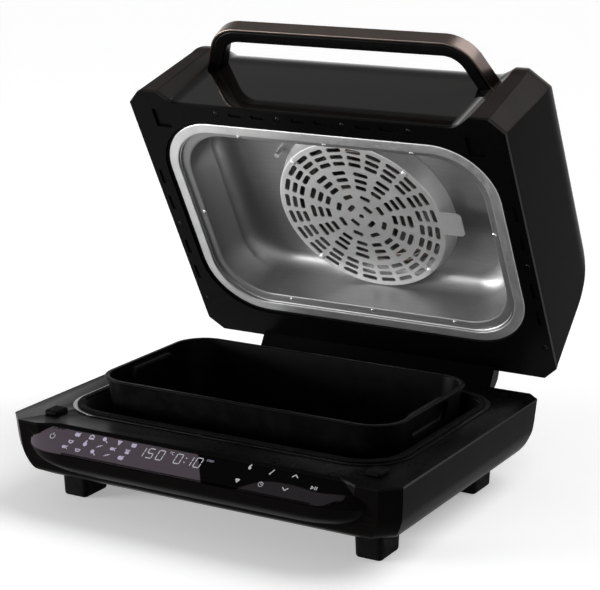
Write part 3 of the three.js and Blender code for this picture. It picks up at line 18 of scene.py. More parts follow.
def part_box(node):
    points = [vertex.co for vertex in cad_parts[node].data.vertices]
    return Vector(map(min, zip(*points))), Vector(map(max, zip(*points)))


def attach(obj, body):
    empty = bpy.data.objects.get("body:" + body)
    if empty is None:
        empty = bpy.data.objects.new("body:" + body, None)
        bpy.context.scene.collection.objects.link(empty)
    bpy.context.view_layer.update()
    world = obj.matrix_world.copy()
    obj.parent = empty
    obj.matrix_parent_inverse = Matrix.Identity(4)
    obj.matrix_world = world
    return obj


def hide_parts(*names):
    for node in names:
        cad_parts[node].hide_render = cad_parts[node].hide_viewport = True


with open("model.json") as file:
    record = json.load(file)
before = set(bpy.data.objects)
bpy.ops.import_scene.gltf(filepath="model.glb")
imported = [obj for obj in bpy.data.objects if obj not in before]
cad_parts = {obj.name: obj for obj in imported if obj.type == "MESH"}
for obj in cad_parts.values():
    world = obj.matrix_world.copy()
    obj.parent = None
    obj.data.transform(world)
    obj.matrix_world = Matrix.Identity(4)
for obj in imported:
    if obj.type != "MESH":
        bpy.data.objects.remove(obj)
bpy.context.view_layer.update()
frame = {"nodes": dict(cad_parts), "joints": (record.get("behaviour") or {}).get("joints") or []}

# %% [markdown]
# ## Where things are
#
# The base is symmetrical, so the deck plate tells where the middle of the base lies. The lid is easier
# to shape closed, with its rim level, and is then turned open about the hinge. The joint in the packed
# record gives both the hinge axis and the angle.

# %% Find the base and the hinge
MM = 0.001
deck_low, deck_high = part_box("deck_cover")
BASE_HALF_X = deck_high.x / MM
BASE_HALF_Y = (deck_high.y - deck_low.y) / 2 / MM
MIDDLE_Y = (deck_high.y + deck_low.y) / 2 / MM
DECK_Z = deck_high.z / MM

hinge = next(joint for joint in frame["joints"] if joint["name"] == "lid_hinge")
HINGE_Y = hinge["pos_m"][1] / MM - MIDDLE_Y
HINGE_Z = hinge["pos_m"][2] / MM
OPEN_ANGLE = math.radians(hinge["range_deg"][1])

to_frame = Matrix.Scale(MM, 4) @ Matrix.Translation((0, MIDDLE_Y, 0))
turn_open = (
    Matrix.Translation((0, HINGE_Y, HINGE_Z))
    @ Matrix.Rotation(-OPEN_ANGLE, 4, "X")
    @ Matrix.Translation((0, -HINGE_Y, -HINGE_Z))
)
print("deck half sizes", round(BASE_HALF_X, 1), round(BASE_HALF_Y, 1), "hinge", round(HINGE_Y, 1))

# %% [markdown]
# ## The camera
#
# The camera was solved from the straight edges of the deck. It stands two metres away, 30 degrees to
# the right of the front and 14 degrees above the level, and looks with a long lens.

# %% Place the camera
CAMERA_AZIMUTH = math.radians(30.02)
CAMERA_ELEVATION = math.radians(14.19)
CAMERA_X, CAMERA_Y, CAMERA_Z = 932.33, -1569.44, 668.34
CAMERA_LENS = 112.2

camera_data = bpy.data.cameras.new("camera")
camera_data.lens = CAMERA_LENS
camera_data.sensor_width = 36.0
camera_data.clip_start = 0.05
camera_data.clip_end = 50.0
camera = bpy.data.objects.new("camera", camera_data)
camera.location = to_frame @ Vector((CAMERA_X, CAMERA_Y, CAMERA_Z))
looking = Vector((
    -math.sin(CAMERA_AZIMUTH) * math.cos(CAMERA_ELEVATION),
    math.cos(CAMERA_AZIMUTH) * math.cos(CAMERA_ELEVATION),
    -math.sin(CAMERA_ELEVATION),
))
camera.rotation_euler = looking.to_track_quat("-Z", "Y").to_euler()
bpy.context.scene.collection.objects.link(camera)
bpy.context.scene.camera = camera

# %% [markdown]
# ## Small tools for shapes
#
# Most of this oven is pressed sheet and moulded plastic, so its pieces are outlines that change a
# little from one height to the next. A loft joins such outlines. Outlines with equal numbers of points
# keep the faces in tidy rows, which shade smoothly.


# %% Make meshes from outlines
def new_piece(name, mesh):
    piece = bpy.data.objects.new(name, mesh)
    bpy.context.scene.collection.objects.link(piece)
    return piece


def mesh_piece(name, points, faces):
    mesh = bpy.data.meshes.new(name)
    mesh.from_pydata([tuple(point) for point in points], [], faces)
    mesh.validate()
    mesh.update()
    return new_piece(name, mesh)


def loft(name, sections, closed=False):
    """Joins (outline, height) pairs. A closed loft joins the last to the first and has no ends."""
    count = len(sections[0][0])
    points = [(x, y, z) for outline, z in sections for x, y in outline]
    faces = []
    levels = len(sections)
    for level in range(levels if closed else levels - 1):
        above = (level + 1) % levels
        for i in range(count):
            j = (i + 1) % count
            faces.append((level * count + i, level * count + j, above * count + j, above * count + i))
    if not closed:
        faces.append(tuple(range(count))[::-1])
        faces.append(tuple(range((levels - 1) * count, levels * count)))
    piece = mesh_piece(name, points, faces)
    face_outwards(piece)
    return piece


def edit(piece, work):
    """Runs one piece of mesh work on a piece."""
    shape = bmesh.new()
    shape.from_mesh(piece.data)
    work(shape)
    shape.to_mesh(piece.data)
    shape.free()


def face_outwards(piece):
    edit(piece, lambda shape: bmesh.ops.recalc_face_normals(shape, faces=shape.faces))


def prism(name, outline, low, high):
    return loft(name, [(outline, low), (outline, high)])


def block(name, low, high):
    outline = [(low[0], low[1]), (high[0], low[1]), (high[0], high[1]), (low[0], high[1])]
    return prism(name, outline, low[2], high[2])


# %% [markdown]
# Two more outlines come back all the time: a rectangle with round corners, for everything that holds
# food or hot air, and a plain circle.

# %% Draw the common outlines
CORNER_STEPS = 16


def rounded_rect(half_x, half_y, radius, centre_y=0.0, centre_x=0.0, steps=CORNER_STEPS):
    outline = []
    for side_x, side_y, start in ((1, -1, -90), (1, 1, 0), (-1, 1, 90), (-1, -1, 180)):
        for i in range(steps + 1):
            angle = math.radians(start + 90 * i / steps)
            outline.append((
                centre_x + side_x * (half_x - radius) + radius * math.cos(angle),
                centre_y + side_y * (half_y - radius) + radius * math.sin(angle),
            ))
    return outline


def circle(radius, steps, centre_y=0.0):
    angles = [2 * math.pi * i / steps for i in range(steps)]
    return [(radius * math.cos(a), centre_y + radius * math.sin(a)) for a in angles]


def inset(outline, distance):
    """Moves an anticlockwise outline inwards, corner by corner."""
    moved = []
    count = len(outline)
    for i, (x, y) in enumerate(outline):
        before, after = Vector(outline[i - 1]), Vector(outline[(i + 1) % count])
        here = Vector((x, y))
        one, two = here - before, after - here
        in_one = Vector((-one.y, one.x)).normalized()
        in_two = Vector((-two.y, two.x)).normalized()
        step = (in_one + in_two) * (distance / (1 + in_one.dot(in_two)))
        moved.append((x + step.x, y + step.y))
    return moved


# %% [markdown]
# ## Cutting, joining and softening
#
# Boolean modifiers cut and join solids. Moulded edges are never sharp, so nearly every piece then gets a
# Bevel modifier that works only where the surface really turns. The Weighted Normal modifier keeps the
# big faces flat and puts all the shading change into the little bevels.


# %% Apply modifiers to a piece
def bake(piece):
    """Turns a piece with modifiers into plain mesh."""
    view = bpy.context.evaluated_depsgraph_get()
    mesh = bpy.data.meshes.new_from_object(piece.evaluated_get(view))
    piece.modifiers.clear()
    old = piece.data
    piece.data = mesh
    bpy.data.meshes.remove(old)
    return piece


def boolean(piece, tool, operation):
    modifier = piece.modifiers.new("boolean", "BOOLEAN")
    modifier.operation = operation
    modifier.object = tool
    modifier.solver = "EXACT"
    bake(piece)
    bpy.data.objects.remove(tool)
    return piece


def join(piece, *tools):
    for tool in tools:
        boolean(piece, tool, "UNION")
    return piece


def cut(piece, *tools):
    for tool in tools:
        boolean(piece, tool, "DIFFERENCE")
    return piece


def common(piece, tool):
    return boolean(piece, tool, "INTERSECT")


WELD = 0.002
FLAT_ANGLE = math.radians(0.4)
SOFT_ANGLE = math.radians(24)
SHARP_ANGLE = math.radians(38)


def shade(piece):
    """Shades a piece smooth and leaves its real edges sharp."""
    piece.data.shade_smooth()
    piece.data.set_sharp_from_angle(angle=SHARP_ANGLE)


def soften(piece, width, segments=3, angle=SOFT_ANGLE, tidy=True):
    """Bevels the real edges of a piece and shades the rest of it smooth."""
    if tidy:
        edit(piece, lambda shape: bmesh.ops.remove_doubles(shape, verts=shape.verts, dist=WELD))
        edit(piece, lambda shape: bmesh.ops.dissolve_limit(
            shape, angle_limit=FLAT_ANGLE, verts=shape.verts, edges=shape.edges))
    if width > 0:
        bevel = piece.modifiers.new("edges", "BEVEL")
        bevel.width = width
        bevel.segments = segments
        bevel.limit_method = "ANGLE"
        bevel.angle_limit = angle
        bevel.miter_outer = "MITER_ARC"
        bake(piece)
    shade(piece)
    normal = piece.modifiers.new("normals", "WEIGHTED_NORMAL")
    normal.keep_sharp = True
    return bake(piece)


# %% [markdown]
# ## Seating a piece
#
# A finished piece is turned open if it belongs to the lid, scaled to metres, and told which body it
# moves with, which finish it has, and which plain CAD parts it stands for.


# %% Seat a piece on its body
def seat(piece, body, slot, material, nodes=(), on_lid=False):
    place = to_frame @ turn_open if on_lid else to_frame
    piece.data.transform(place)
    piece.data.update()
    piece.data.materials.clear()
    piece.data.materials.append(material)
    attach(piece, body)
    if nodes:
        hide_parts(*nodes)
    return piece


def seat_flat(piece, *place):
    """Seats a piece with large flat faces, which need no shading across their edges."""
    piece.data.shade_flat()
    return seat(piece, *place)


def copy_of(node, name):
    """A copy of a CAD part in millimetres about the base's middle, with its corners welded."""
    mesh = frame["nodes"][node].data.copy()
    piece = new_piece(name, mesh)
    mesh.transform(to_frame.inverted())
    mesh.materials.clear()
    edit(piece, lambda shape: bmesh.ops.remove_doubles(shape, verts=shape.verts, dist=WELD))
    return piece


# %% [markdown]
# ## Finishes
#
# Every finish starts from the Principled shader. Colour that never changes is set on the shader itself.
# What makes a finish believable is the small change across it: grain, brush lines, polishing haze.
# These come from noise on Object coordinates, so they stay fixed to the piece. Two small helpers keep
# the node trees short: one adds a node with its values, the other links nodes row by row.


# %% Add and link nodes
def add_node(tree, kind, values=None):
    """Adds a node and gives some of its inputs their values."""
    node = tree.nodes.new(kind)
    for socket, value in (values or {}).items():
        node.inputs[socket].default_value = value
    return node


def add_math(tree, operation, values=None):
    node = add_node(tree, "ShaderNodeMath", values)
    node.operation = operation
    return node


def wire(tree, *rows):
    """Links rows of node, output, next node and input."""
    for node, output, after, socket in rows:
        tree.links.new(node.outputs[output], after.inputs[socket])


# %% Drive a finish from patterns
def noise(material, scale, detail, stretch=(1, 1, 1)):
    """A noise pattern fixed to the piece, stretched along its axes."""
    tree = material.node_tree
    place = add_node(tree, "ShaderNodeTexCoord")
    mapping = add_node(tree, "ShaderNodeMapping", {"Scale": stretch})
    pattern = add_node(tree, "ShaderNodeTexNoise", {"Scale": scale, "Detail": detail})
    wire(tree, (place, "Object", mapping, "Vector"), (mapping, "Vector", pattern, "Vector"))
    return pattern.outputs["Fac"]


def vary(material, socket, source, low, high, start=0.35, stop=0.65):
    """Drives a shader socket between two values, or two colours, from a pattern."""
    tree = material.node_tree
    if isinstance(low, tuple):
        span = add_node(tree, "ShaderNodeValToRGB")
        first, last = span.color_ramp.elements
        first.position, last.position = start, stop
        first.color, last.color = (*low, 1), (*high, 1)
    else:
        span = add_node(tree, "ShaderNodeMapRange", {
            "From Min": start, "From Max": stop, "To Min": low, "To Max": high})
    tree.links.new(source, span.inputs[0])
    tree.links.new(span.outputs[0], tree.nodes["Principled BSDF"].inputs[socket])


def grain(material, source, strength, distance):
    """Raises a fine bump from a pattern."""
    tree = material.node_tree
    bump = add_node(tree, "ShaderNodeBump", {"Strength": strength, "Distance": distance})
    tree.links.new(source, bump.inputs["Height"])
    wire(tree, (bump, "Normal", tree.nodes["Principled BSDF"], "Normal"))


def zone_across(material, edge, slant, blur):
    """Goes from 0 to 1 across a slanted line, read from the piece's own coordinates."""
    tree = material.node_tree
    place = add_node(tree, "ShaderNodeTexCoord")
    apart = add_node(tree, "ShaderNodeSeparateXYZ")
    lean = add_math(tree, "MULTIPLY_ADD", {1: -slant})
    span = add_node(tree, "ShaderNodeMapRange", {"From Min": edge - blur, "From Max": edge + blur})
    span.interpolation_type = "SMOOTHSTEP"
    wire(
        tree, (place, "Object", apart, "Vector"), (apart, "Z", lean, 0), (apart, "X", lean, 2),
        (lean, "Value", span, "Value"),
    )
    return span.outputs["Result"]


# %% Build a material
def finish(name, colour, roughness, metallic=0.0, rough=None, tint=None, bump=None, **sockets):
    """A Principled material. Its roughness, its tint and its bump each start with a noise pattern."""
    material = bpy.data.materials.new(name)
    material.use_nodes = True
    shader = material.node_tree.nodes["Principled BSDF"]
    shader.inputs["Base Color"].default_value = (*colour, 1)
    shader.inputs["Roughness"].default_value = roughness
    shader.inputs["Metallic"].default_value = metallic
    for socket, value in sockets.items():
        shader.inputs[socket.replace("_", " ")].default_value = value
    for socket, rule in (("Roughness", rough), ("Base Color", tint)):
        if rule:
            vary(material, socket, noise(material, *rule[0]), *rule[1:])
    if bump:
        grain(material, noise(material, *bump[0]), *bump[1:])
    return material


# %% [markdown]
# ### Plastics and rubber
#
# The lid and the tub are moulded in a near-black plastic with a warm tint. The lid's fronts are polished
# until they mirror their surroundings. Its cut corners and flanks are calmer, and their colour carries
# painted light: a painted highlight makes the corners lighter, painted shade makes the flanks darker.
# The tub is duller still. The deck, the lid's rim and the hinge are the same black with a fine sanded
# texture. The feet and the seals are rubber, which scatters nearly all light.

# %% Make the plastics and the rubber
POLISH, MOULDED = (9.0, 4.0), (30.0, 2.0)

gloss_dark = finish(
    "gloss_dark_plastic", (0.0066, 0.0055, 0.0051), 0.06, Specular_IOR_Level=0.28,
    rough=(POLISH, 0.05, 0.08), tint=(MOULDED, (0.0060, 0.0050, 0.0046), (0.0072, 0.0060, 0.0056)))
# Painted shade: the flanks are the lid's own plastic, painted darker and given little specular.
flank_painted_shade = finish(
    "lid_flank_painted_shade", (0.0030, 0.0026, 0.0025), 0.22, Specular_IOR_Level=0.006,
    rough=(POLISH, 0.19, 0.25), tint=(MOULDED, (0.0027, 0.0023, 0.0022), (0.0033, 0.0029, 0.0028)))
# Painted highlight: the cut corners are the lid's own plastic, painted lighter.
chamfer_painted_light = finish(
    "lid_chamfer_painted_light", (0.0240, 0.0195, 0.0180), 0.20, Specular_IOR_Level=0.02,
    rough=(POLISH, 0.17, 0.23), tint=(MOULDED, (0.0220, 0.0178, 0.0165), (0.0260, 0.0212, 0.0195)))
tub_dark = finish(
    "tub_dark_plastic", (0.0026, 0.0022, 0.0021), 0.30, Specular_IOR_Level=0.01,
    rough=(POLISH, 0.26, 0.34), tint=(MOULDED, (0.0023, 0.0020, 0.0019), (0.0029, 0.0024, 0.0023)),
    bump=((260.0, 2.0), 0.02, 0.0004))
satin_black = finish(
    "satin_black_plastic", (0.0024, 0.0021, 0.0021), 0.26, Specular_IOR_Level=0.03,
    rough=((60.0, 4.0), 0.27, 0.30),
    tint=((25.0, 3.0), (0.0023, 0.0020, 0.0020), (0.0026, 0.0023, 0.0023)),
    bump=((1800.0, 2.0), 0.08, 0.0001))
handle_black = finish(
    "handle_black_plastic", (0.0026, 0.0024, 0.0024), 0.26, Specular_IOR_Level=0.06,
    rough=((80.0, 3.0), 0.26, 0.34), bump=((900.0, 2.0), 0.06, 0.0002))
rubber = finish(
    "black_rubber", (0.0022, 0.0021, 0.0021), 0.72, Specular_IOR_Level=0.05,
    rough=((140.0, 4.0), 0.62, 0.82),
    tint=((50.0, 3.0), (0.0015, 0.0014, 0.0014), (0.0030, 0.0028, 0.0028)),
    bump=((1400.0, 3.0), 0.3, 0.0003))
print("made", gloss_dark.name, tub_dark.name, satin_black.name, rubber.name)

# %% [markdown]
# ### Metals
#
# The lid's lining and its fan cover are brushed steel. Brushing leaves short, very fine lines, so the
# noise is stretched about fifty times along the brushing direction and drives the roughness and a
# slight bump. The well's steel has painted light in its colour: a painted reflection makes it bright at
# its left end, and painted shade makes the rest dark. The cooking pot has a dark coating, and the strip
# on the handle is bronze-coloured aluminium.

# %% Make the metals
BRUSH_STRETCH, FINE_BRUSH_STRETCH, BRONZE_STRETCH = (4, 200, 200), (6, 320, 320), (8, 200, 200)
WELL_PAINTED_LIGHT_X, WELL_PAINTED_LIGHT_BLUR = -0.158, 0.022
WELL_PAINTED_REFLECTION, WELL_PAINTED_SHADE = (0.36, 0.36, 0.37), (0.012, 0.012, 0.012)

lining_steel = finish(
    "brushed_lining_steel", (0.29, 0.29, 0.29), 0.46, 0.9,
    rough=((6.0, 5.0, BRUSH_STRETCH), 0.43, 0.50),
    tint=((5.0, 5.0, FINE_BRUSH_STRETCH), (0.26, 0.26, 0.26), (0.32, 0.32, 0.32), 0.3, 0.7),
    bump=((8.0, 3.0, FINE_BRUSH_STRETCH), 0.05, 0.0002))
ring_steel = finish(
    "satin_ring_steel", (0.56, 0.56, 0.56), 0.38, 0.85,
    rough=((220.0, 4.0), 0.36, 0.46), tint=((40.0, 4.0), (0.52, 0.52, 0.52), (0.60, 0.60, 0.60)))
cover_steel = finish(
    "fan_cover_steel", (0.78, 0.78, 0.78), 0.40, 0.8,
    rough=((7.0, 5.0, BRUSH_STRETCH), 0.38, 0.48),
    tint=((35.0, 4.0), (0.74, 0.74, 0.74), (0.82, 0.82, 0.82)),
    bump=((8.0, 3.0, FINE_BRUSH_STRETCH), 0.04, 0.0002))
well_steel = finish(
    "well_steel", (0.34, 0.34, 0.35), 0.34, 1.0, rough=((6.0, 5.0, BRUSH_STRETCH), 0.28, 0.44))
# Painted light: the steel's colour is bright left of a line as a painted reflection, and dark to the right of
# it as painted shade.
well_painted_light = zone_across(well_steel, WELL_PAINTED_LIGHT_X, 0.0, WELL_PAINTED_LIGHT_BLUR)
vary(well_steel, "Base Color", well_painted_light, WELL_PAINTED_REFLECTION, WELL_PAINTED_SHADE, 0.0, 1.0)
bronze = finish(
    "satin_bronze", (0.165, 0.132, 0.118), 0.34, 1.0, rough=((12.0, 5.0, BRONZE_STRETCH), 0.28, 0.40),
    tint=((20.0, 4.0), (0.150, 0.120, 0.107), (0.180, 0.144, 0.129)))
pot_coating = finish(
    "pot_coating", (0.0020, 0.0018, 0.0018), 0.40, Specular_IOR_Level=0.04,
    rough=((90.0, 4.0), 0.34, 0.48),
    tint=((1500.0, 1.0), (0.0016, 0.0015, 0.0015), (0.0040, 0.0038, 0.0038), 0.55, 0.75),
    bump=((700.0, 3.0), 0.08, 0.0002))
dark_screw = finish(
    "blackened_screw", (0.018, 0.017, 0.017), 0.42, 1.0, rough=((500.0, 3.0), 0.30, 0.48))
bright_steel = finish(
    "bright_screw_steel", (0.62, 0.62, 0.63), 0.28, 1.0, rough=((500.0, 3.0), 0.22, 0.36))
heater_steel = finish(
    "heater_steel", (0.16, 0.14, 0.13), 0.45, 1.0,
    tint=((40.0, 4.0), (0.10, 0.09, 0.085), (0.22, 0.19, 0.17)))
motor_grey = finish(
    "motor_case_grey", (0.22, 0.22, 0.23), 0.42, 0.8, rough=((120.0, 3.0), 0.36, 0.5))
board_green = finish(
    "circuit_board_green", (0.02, 0.085, 0.035), 0.45,
    tint=((300.0, 4.0), (0.014, 0.065, 0.026), (0.026, 0.105, 0.045)))
print("made", lining_steel.name, cover_steel.name, well_steel.name, bronze.name)

# %% [markdown]
# ### Glass and lit marks
#
# The touch panel is dark glass: almost no colour of its own, and a mirror-like face. Left of a slanted
# line a faint mauve painted reflection is put into its colour, and under a wave at its right end a grey
# painted reflection.
# The marks behind it glow a little, so they use emission.

# %% Make the glass and the lit marks
ZONE_EDGE_X, ZONE_EDGE_SLANT, ZONE_BLUR = 0.004, -0.85, 0.0006
PAINTED_REFLECTION_GLASS, DARK_GLASS = (0.062, 0.050, 0.060), (0.0012, 0.0009, 0.0011)
WAVE_PAINTED_REFLECTION = (0.0180, 0.0160, 0.0175)
WAVE_FROM_X, WAVE_TO_X, WAVE_LOW_Z, WAVE_HIGH_Z, WAVE_BLUR = 0.050, 0.170, 0.065, 0.080, 0.06
WAVE = [
    (50, 0.0), (57, 0.13), (64, 0.34), (76, 0.69), (89, 0.90), (104, 0.95), (126, 0.92), (142, 0.79),
    (162, 0.91),
]


def add_painted_wave_reflection(material):
    """Paints a grey reflection into the glass under a line through the wave's points of place in mm and
    height.
    """
    tree = material.node_tree
    shader = tree.nodes["Principled BSDF"]
    plain = shader.inputs["Base Color"].links[0].from_socket
    place = add_node(tree, "ShaderNodeTexCoord")
    apart = add_node(tree, "ShaderNodeSeparateXYZ")
    along = add_node(tree, "ShaderNodeMapRange", {"From Min": WAVE_FROM_X, "From Max": WAVE_TO_X})
    line = add_node(tree, "ShaderNodeValToRGB")
    line.color_ramp.interpolation = "B_SPLINE"
    stops = line.color_ramp.elements
    stops.remove(stops[1])
    for i, (x, height) in enumerate(WAVE):
        position = (x * MM - WAVE_FROM_X) / (WAVE_TO_X - WAVE_FROM_X)
        stop = stops[0] if i == 0 else stops.new(position)
        stop.position = position
        stop.color = (height, height, height, 1)
    level = add_node(tree, "ShaderNodeMapRange", {"From Min": WAVE_LOW_Z, "From Max": WAVE_HIGH_Z})
    under = add_math(tree, "SUBTRACT")
    edge = add_node(tree, "ShaderNodeMapRange", {"From Min": 0.0, "From Max": WAVE_BLUR})
    mix = tree.nodes.new("ShaderNodeMix")
    mix.data_type = "RGBA"
    mix.inputs["B"].default_value = (*WAVE_PAINTED_REFLECTION, 1)
    tree.links.new(plain, mix.inputs["A"])
    wire(
        tree, (place, "Object", apart, "Vector"), (apart, "X", along, "Value"),
        (along, "Result", line, "Fac"), (apart, "Z", level, "Value"), (line, "Color", under, 0),
        (level, "Result", under, 1), (under, "Value", edge, "Value"), (edge, "Result", mix, "Factor"),
        (mix, "Result", shader, "Base Color"),
    )


panel_glass = finish(
    "dark_panel_glass", (0.0035, 0.0026, 0.0030), 0.06, Specular_IOR_Level=0.05,
    rough=((25.0, 3.0), 0.05, 0.08))
zone_low = DECK_Z * MM * -ZONE_EDGE_SLANT
# Painted reflections: a mauve zone left of a slanted line, and a grey one under the wave.
painted_reflection_zone = zone_across(panel_glass, ZONE_EDGE_X + zone_low, ZONE_EDGE_SLANT, ZONE_BLUR)
vary(panel_glass, "Base Color", painted_reflection_zone, PAINTED_REFLECTION_GLASS, DARK_GLASS, 0.0, 1.0)
add_painted_wave_reflection(panel_glass)

digit_light = finish(
    "digit_light", (0.26, 0.26, 0.28), 0.4, Emission_Strength=0.22,
    Emission_Color=(0.86, 0.86, 0.92, 1), rough=((400.0, 2.0), 0.35, 0.45))
mark_light = finish(
    "mark_light", (0.22, 0.20, 0.25), 0.4, Emission_Strength=0.26,
    Emission_Color=(0.72, 0.66, 0.86, 1), rough=((400.0, 2.0), 0.35, 0.45))
print("made", panel_glass.name, digit_light.name, mark_light.name)

# %% [markdown]
# ## The base body
#
# Seen from above the base is a rectangle with cut corners, and its sides curve in towards the worktop.
# A few heights with their tuck give that curve. Between them a monotone cubic is used: it is as smooth
# as a spline, but never swings past the values, so the body can't grow wider than it really is.


# %% Interpolate a profile smoothly
def smooth_row(table, share):
    """The values of a table row at a share, between rows, with no overshoot."""
    if share <= table[0][0]:
        return table[0]
    if share >= table[-1][0]:
        return table[-1]
    k = max(i for i in range(len(table) - 1) if table[i][0] <= share)
    low, high = table[k], table[k + 1]
    step = high[0] - low[0]
    t = (share - low[0]) / step
    values = [share]
    for column in range(1, len(low)):
        slopes = [
            (table[i + 1][column] - table[i][column]) / (table[i + 1][0] - table[i][0])
            for i in range(len(table) - 1)
        ]

        def tangent(i):
            if i == 0:
                return slopes[0]
            if i == len(table) - 1:
                return slopes[-1]
            one, two = slopes[i - 1], slopes[i]
            return 0.0 if one * two <= 0 else 2 * one * two / (one + two)

        start, stop = tangent(k) * step, tangent(k + 1) * step
        values.append(
            low[column] * (2 * t**3 - 3 * t**2 + 1)
            + start * (t**3 - 2 * t**2 + t)
            + high[column] * (3 * t**2 - 2 * t**3)
            + stop * (t**3 - t**2)
        )
    return values


# %% Describe the body
TUB_LOW_Z = 24.0
SIDE_TUCK, END_TUCK = 33.0, 40.0
FRONT_CHAMFER, REAR_CHAMFER = 17.0, 14.0
TUB_PROFILE = [
    (0.0, 1.0, 1.0),
    (0.045, 0.76, 0.75),
    (0.106, 0.545, 0.55),
    (0.212, 0.333, 0.25),
    (0.333, 0.197, 0.16),
    (0.515, 0.076, 0.09),
    (1.0, 0.0, 0.0),
]
BODY_LEVELS = 28
tub_height = DECK_Z - TUB_LOW_Z


def body_outline(z, grow):
    _, side, end = smooth_row(TUB_PROFILE, (z - TUB_LOW_Z) / tub_height)
    x = BASE_HALF_X - SIDE_TUCK * side + grow
    y = BASE_HALF_Y - END_TUCK * end + grow
    front = FRONT_CHAMFER + grow * (2 - math.sqrt(2))
    rear = REAR_CHAMFER + grow * (2 - math.sqrt(2))
    return [
        (-x + front, -y), (x - front, -y), (x, -y + front), (x, y - rear),
        (x - rear, y), (-x + rear, y), (-x, y - rear), (-x, -y + front),
    ]


def levels(low, high, count=BODY_LEVELS):
    return [low + (high - low) * i / count for i in range(count + 1)]


def body_solid(name, grow, low, high):
    return loft(name, [(body_outline(z, grow), z) for z in levels(low, high)])


# %% [markdown]
# ## The console
#
# The touch panel sits on a console that swells out of the front. Its plan is a straight run with an
# elliptical turn at each end. It reaches furthest at the lip, 23 mm below the deck, and slopes up from
# there to a shallow recess in the deck's front edge.

# %% Describe the console
CONSOLE_REACH, CONSOLE_SETBACK, CONSOLE_BACK = 15.0, 10.5, 30.0
CONSOLE_HALF = 192.0
LIP_DROP = 23.0
RECESS_HALF, RECESS_MOUTH_HALF = 158.0, 180.0
lip_front = BASE_HALF_Y + CONSOLE_REACH
console_back = BASE_HALF_Y - CONSOLE_BACK
recess_y = BASE_HALF_Y - CONSOLE_SETBACK
top_reach = (recess_y - console_back) / (lip_front - console_back)
LIP_SHARE = 1 - LIP_DROP / tub_height
CONSOLE_LOWER = [
    (0.152, 0.02, 0.495, 0.68, 0.0),
    (0.242, 0.42, 0.547, 0.78, 0.27),
    (0.364, 0.755, 0.635, 0.917, 0.31),
    (0.5, 0.955, 0.703, 0.969, 0.4),
    (LIP_SHARE, 1.0, 0.729, 1.0, 0.49),
]
CONSOLE_TOP = (1.0, top_reach, 0.78, 1.01, top_reach)
CONSOLE_TURN_STEPS = 14
LOWER_LEVELS, SLOPE_LEVELS = 18, 10
MERGED_GAP = 0.3


def console_outline(z, grow):
    share = (z - TUB_LOW_Z) / tub_height
    if share <= LIP_SHARE:
        row = smooth_row(CONSOLE_LOWER, share)
    else:
        t = min((share - LIP_SHARE) / (1 - LIP_SHARE), 1)
        row = [a + (b - a) * t for a, b in zip(CONSOLE_LOWER[-1], CONSOLE_TOP)]
    _, reach, straight, half, end_reach = row
    front = console_back + (lip_front - console_back) * reach + grow
    end = min(console_back + (lip_front - console_back) * end_reach, front - MERGED_GAP)
    straight_x = CONSOLE_HALF * straight
    half_x = CONSOLE_HALF * half + grow
    right = []
    for i in range(CONSOLE_TURN_STEPS + 1):
        angle = math.pi / 2 * i / CONSOLE_TURN_STEPS
        right.append((
            straight_x + (half_x - straight_x) * math.sin(angle),
            -end - (front - end) * math.cos(angle),
        ))
    right.append((half_x, -console_back + CONSOLE_BACK))
    return [(-x, y) for x, y in reversed(right)] + right


def console_solid(name, grow, high):
    low = TUB_LOW_Z + CONSOLE_LOWER[0][0] * tub_height
    lip_z = DECK_Z - LIP_DROP
    heights = levels(low, lip_z, LOWER_LEVELS) + levels(lip_z, DECK_Z, SLOPE_LEVELS)[1:] + [high]
    return loft(name, [(console_outline(z, grow), z) for z in heights])


def recess_tool(name, grow, high):
    inner = RECESS_HALF - grow
    mouth = RECESS_MOUTH_HALF - grow
    mouth_y = -BASE_HALF_Y - grow
    outer_y = -lip_front - CONSOLE_BACK
    outline = [
        (-mouth, outer_y), (mouth, outer_y), (mouth, mouth_y),
        (inner, -recess_y - grow), (-inner, -recess_y - grow), (-mouth, mouth_y),
    ]
    return prism(name, outline, DECK_Z - LIP_DROP, high)


OVERRUN = 2.0


def base_solid(name, grow, low, high):
    """The body with the recess cut and the console joined on."""
    tool = recess_tool(name + "_recess", grow, high + OVERRUN)
    recess = cut(tool, console_solid("t", grow, high + OVERRUN))
    body = cut(body_solid(name, grow, low, high), recess)
    console = console_solid("t", grow, high + OVERRUN)
    trim = block("t", (-BASE_HALF_X * 2, -BASE_HALF_X * 2, low), (BASE_HALF_X * 2, BASE_HALF_X * 2, high))
    return join(body, common(console, trim))


# %% [markdown]
# ## The touch panel's glass
#
# The glass is a 3 mm layer of the console's own surface, so it follows the curved ends exactly. The
# layer is found by cutting the console with a slightly smaller console, and is then trimmed to the
# panel's outline with a tool that points straight into the slope.

# %% Describe the panel outline on the slope
GLASS_DEPTH, GLASS_GAP = 3.0, 0.3
GLASS_LEFT, GLASS_LEFT_STRAIGHT, GLASS_LEFT_CENTRE = 189.0, 153.0, 17.0
GLASS_RIGHT, GLASS_RIGHT_STRAIGHT = 178.0, 140.0
GLASS_LENGTH = 33.0
TOOL_INNER, TOOL_OUTER = 16.0, 5.0
GLASS_TURN_STEPS = 14

slope_up = Vector((0, lip_front - recess_y, LIP_DROP)).normalized()
slope_out = Vector((1, 0, 0)).cross(slope_up)
slope_frame = Matrix.Translation((0, -recess_y, DECK_Z)) @ Matrix((
    (1, slope_up.x, slope_out.x, 0),
    (0, slope_up.y, slope_out.y, 0),
    (0, slope_up.z, slope_out.z, 0),
    (0, 0, 0, 1),
))


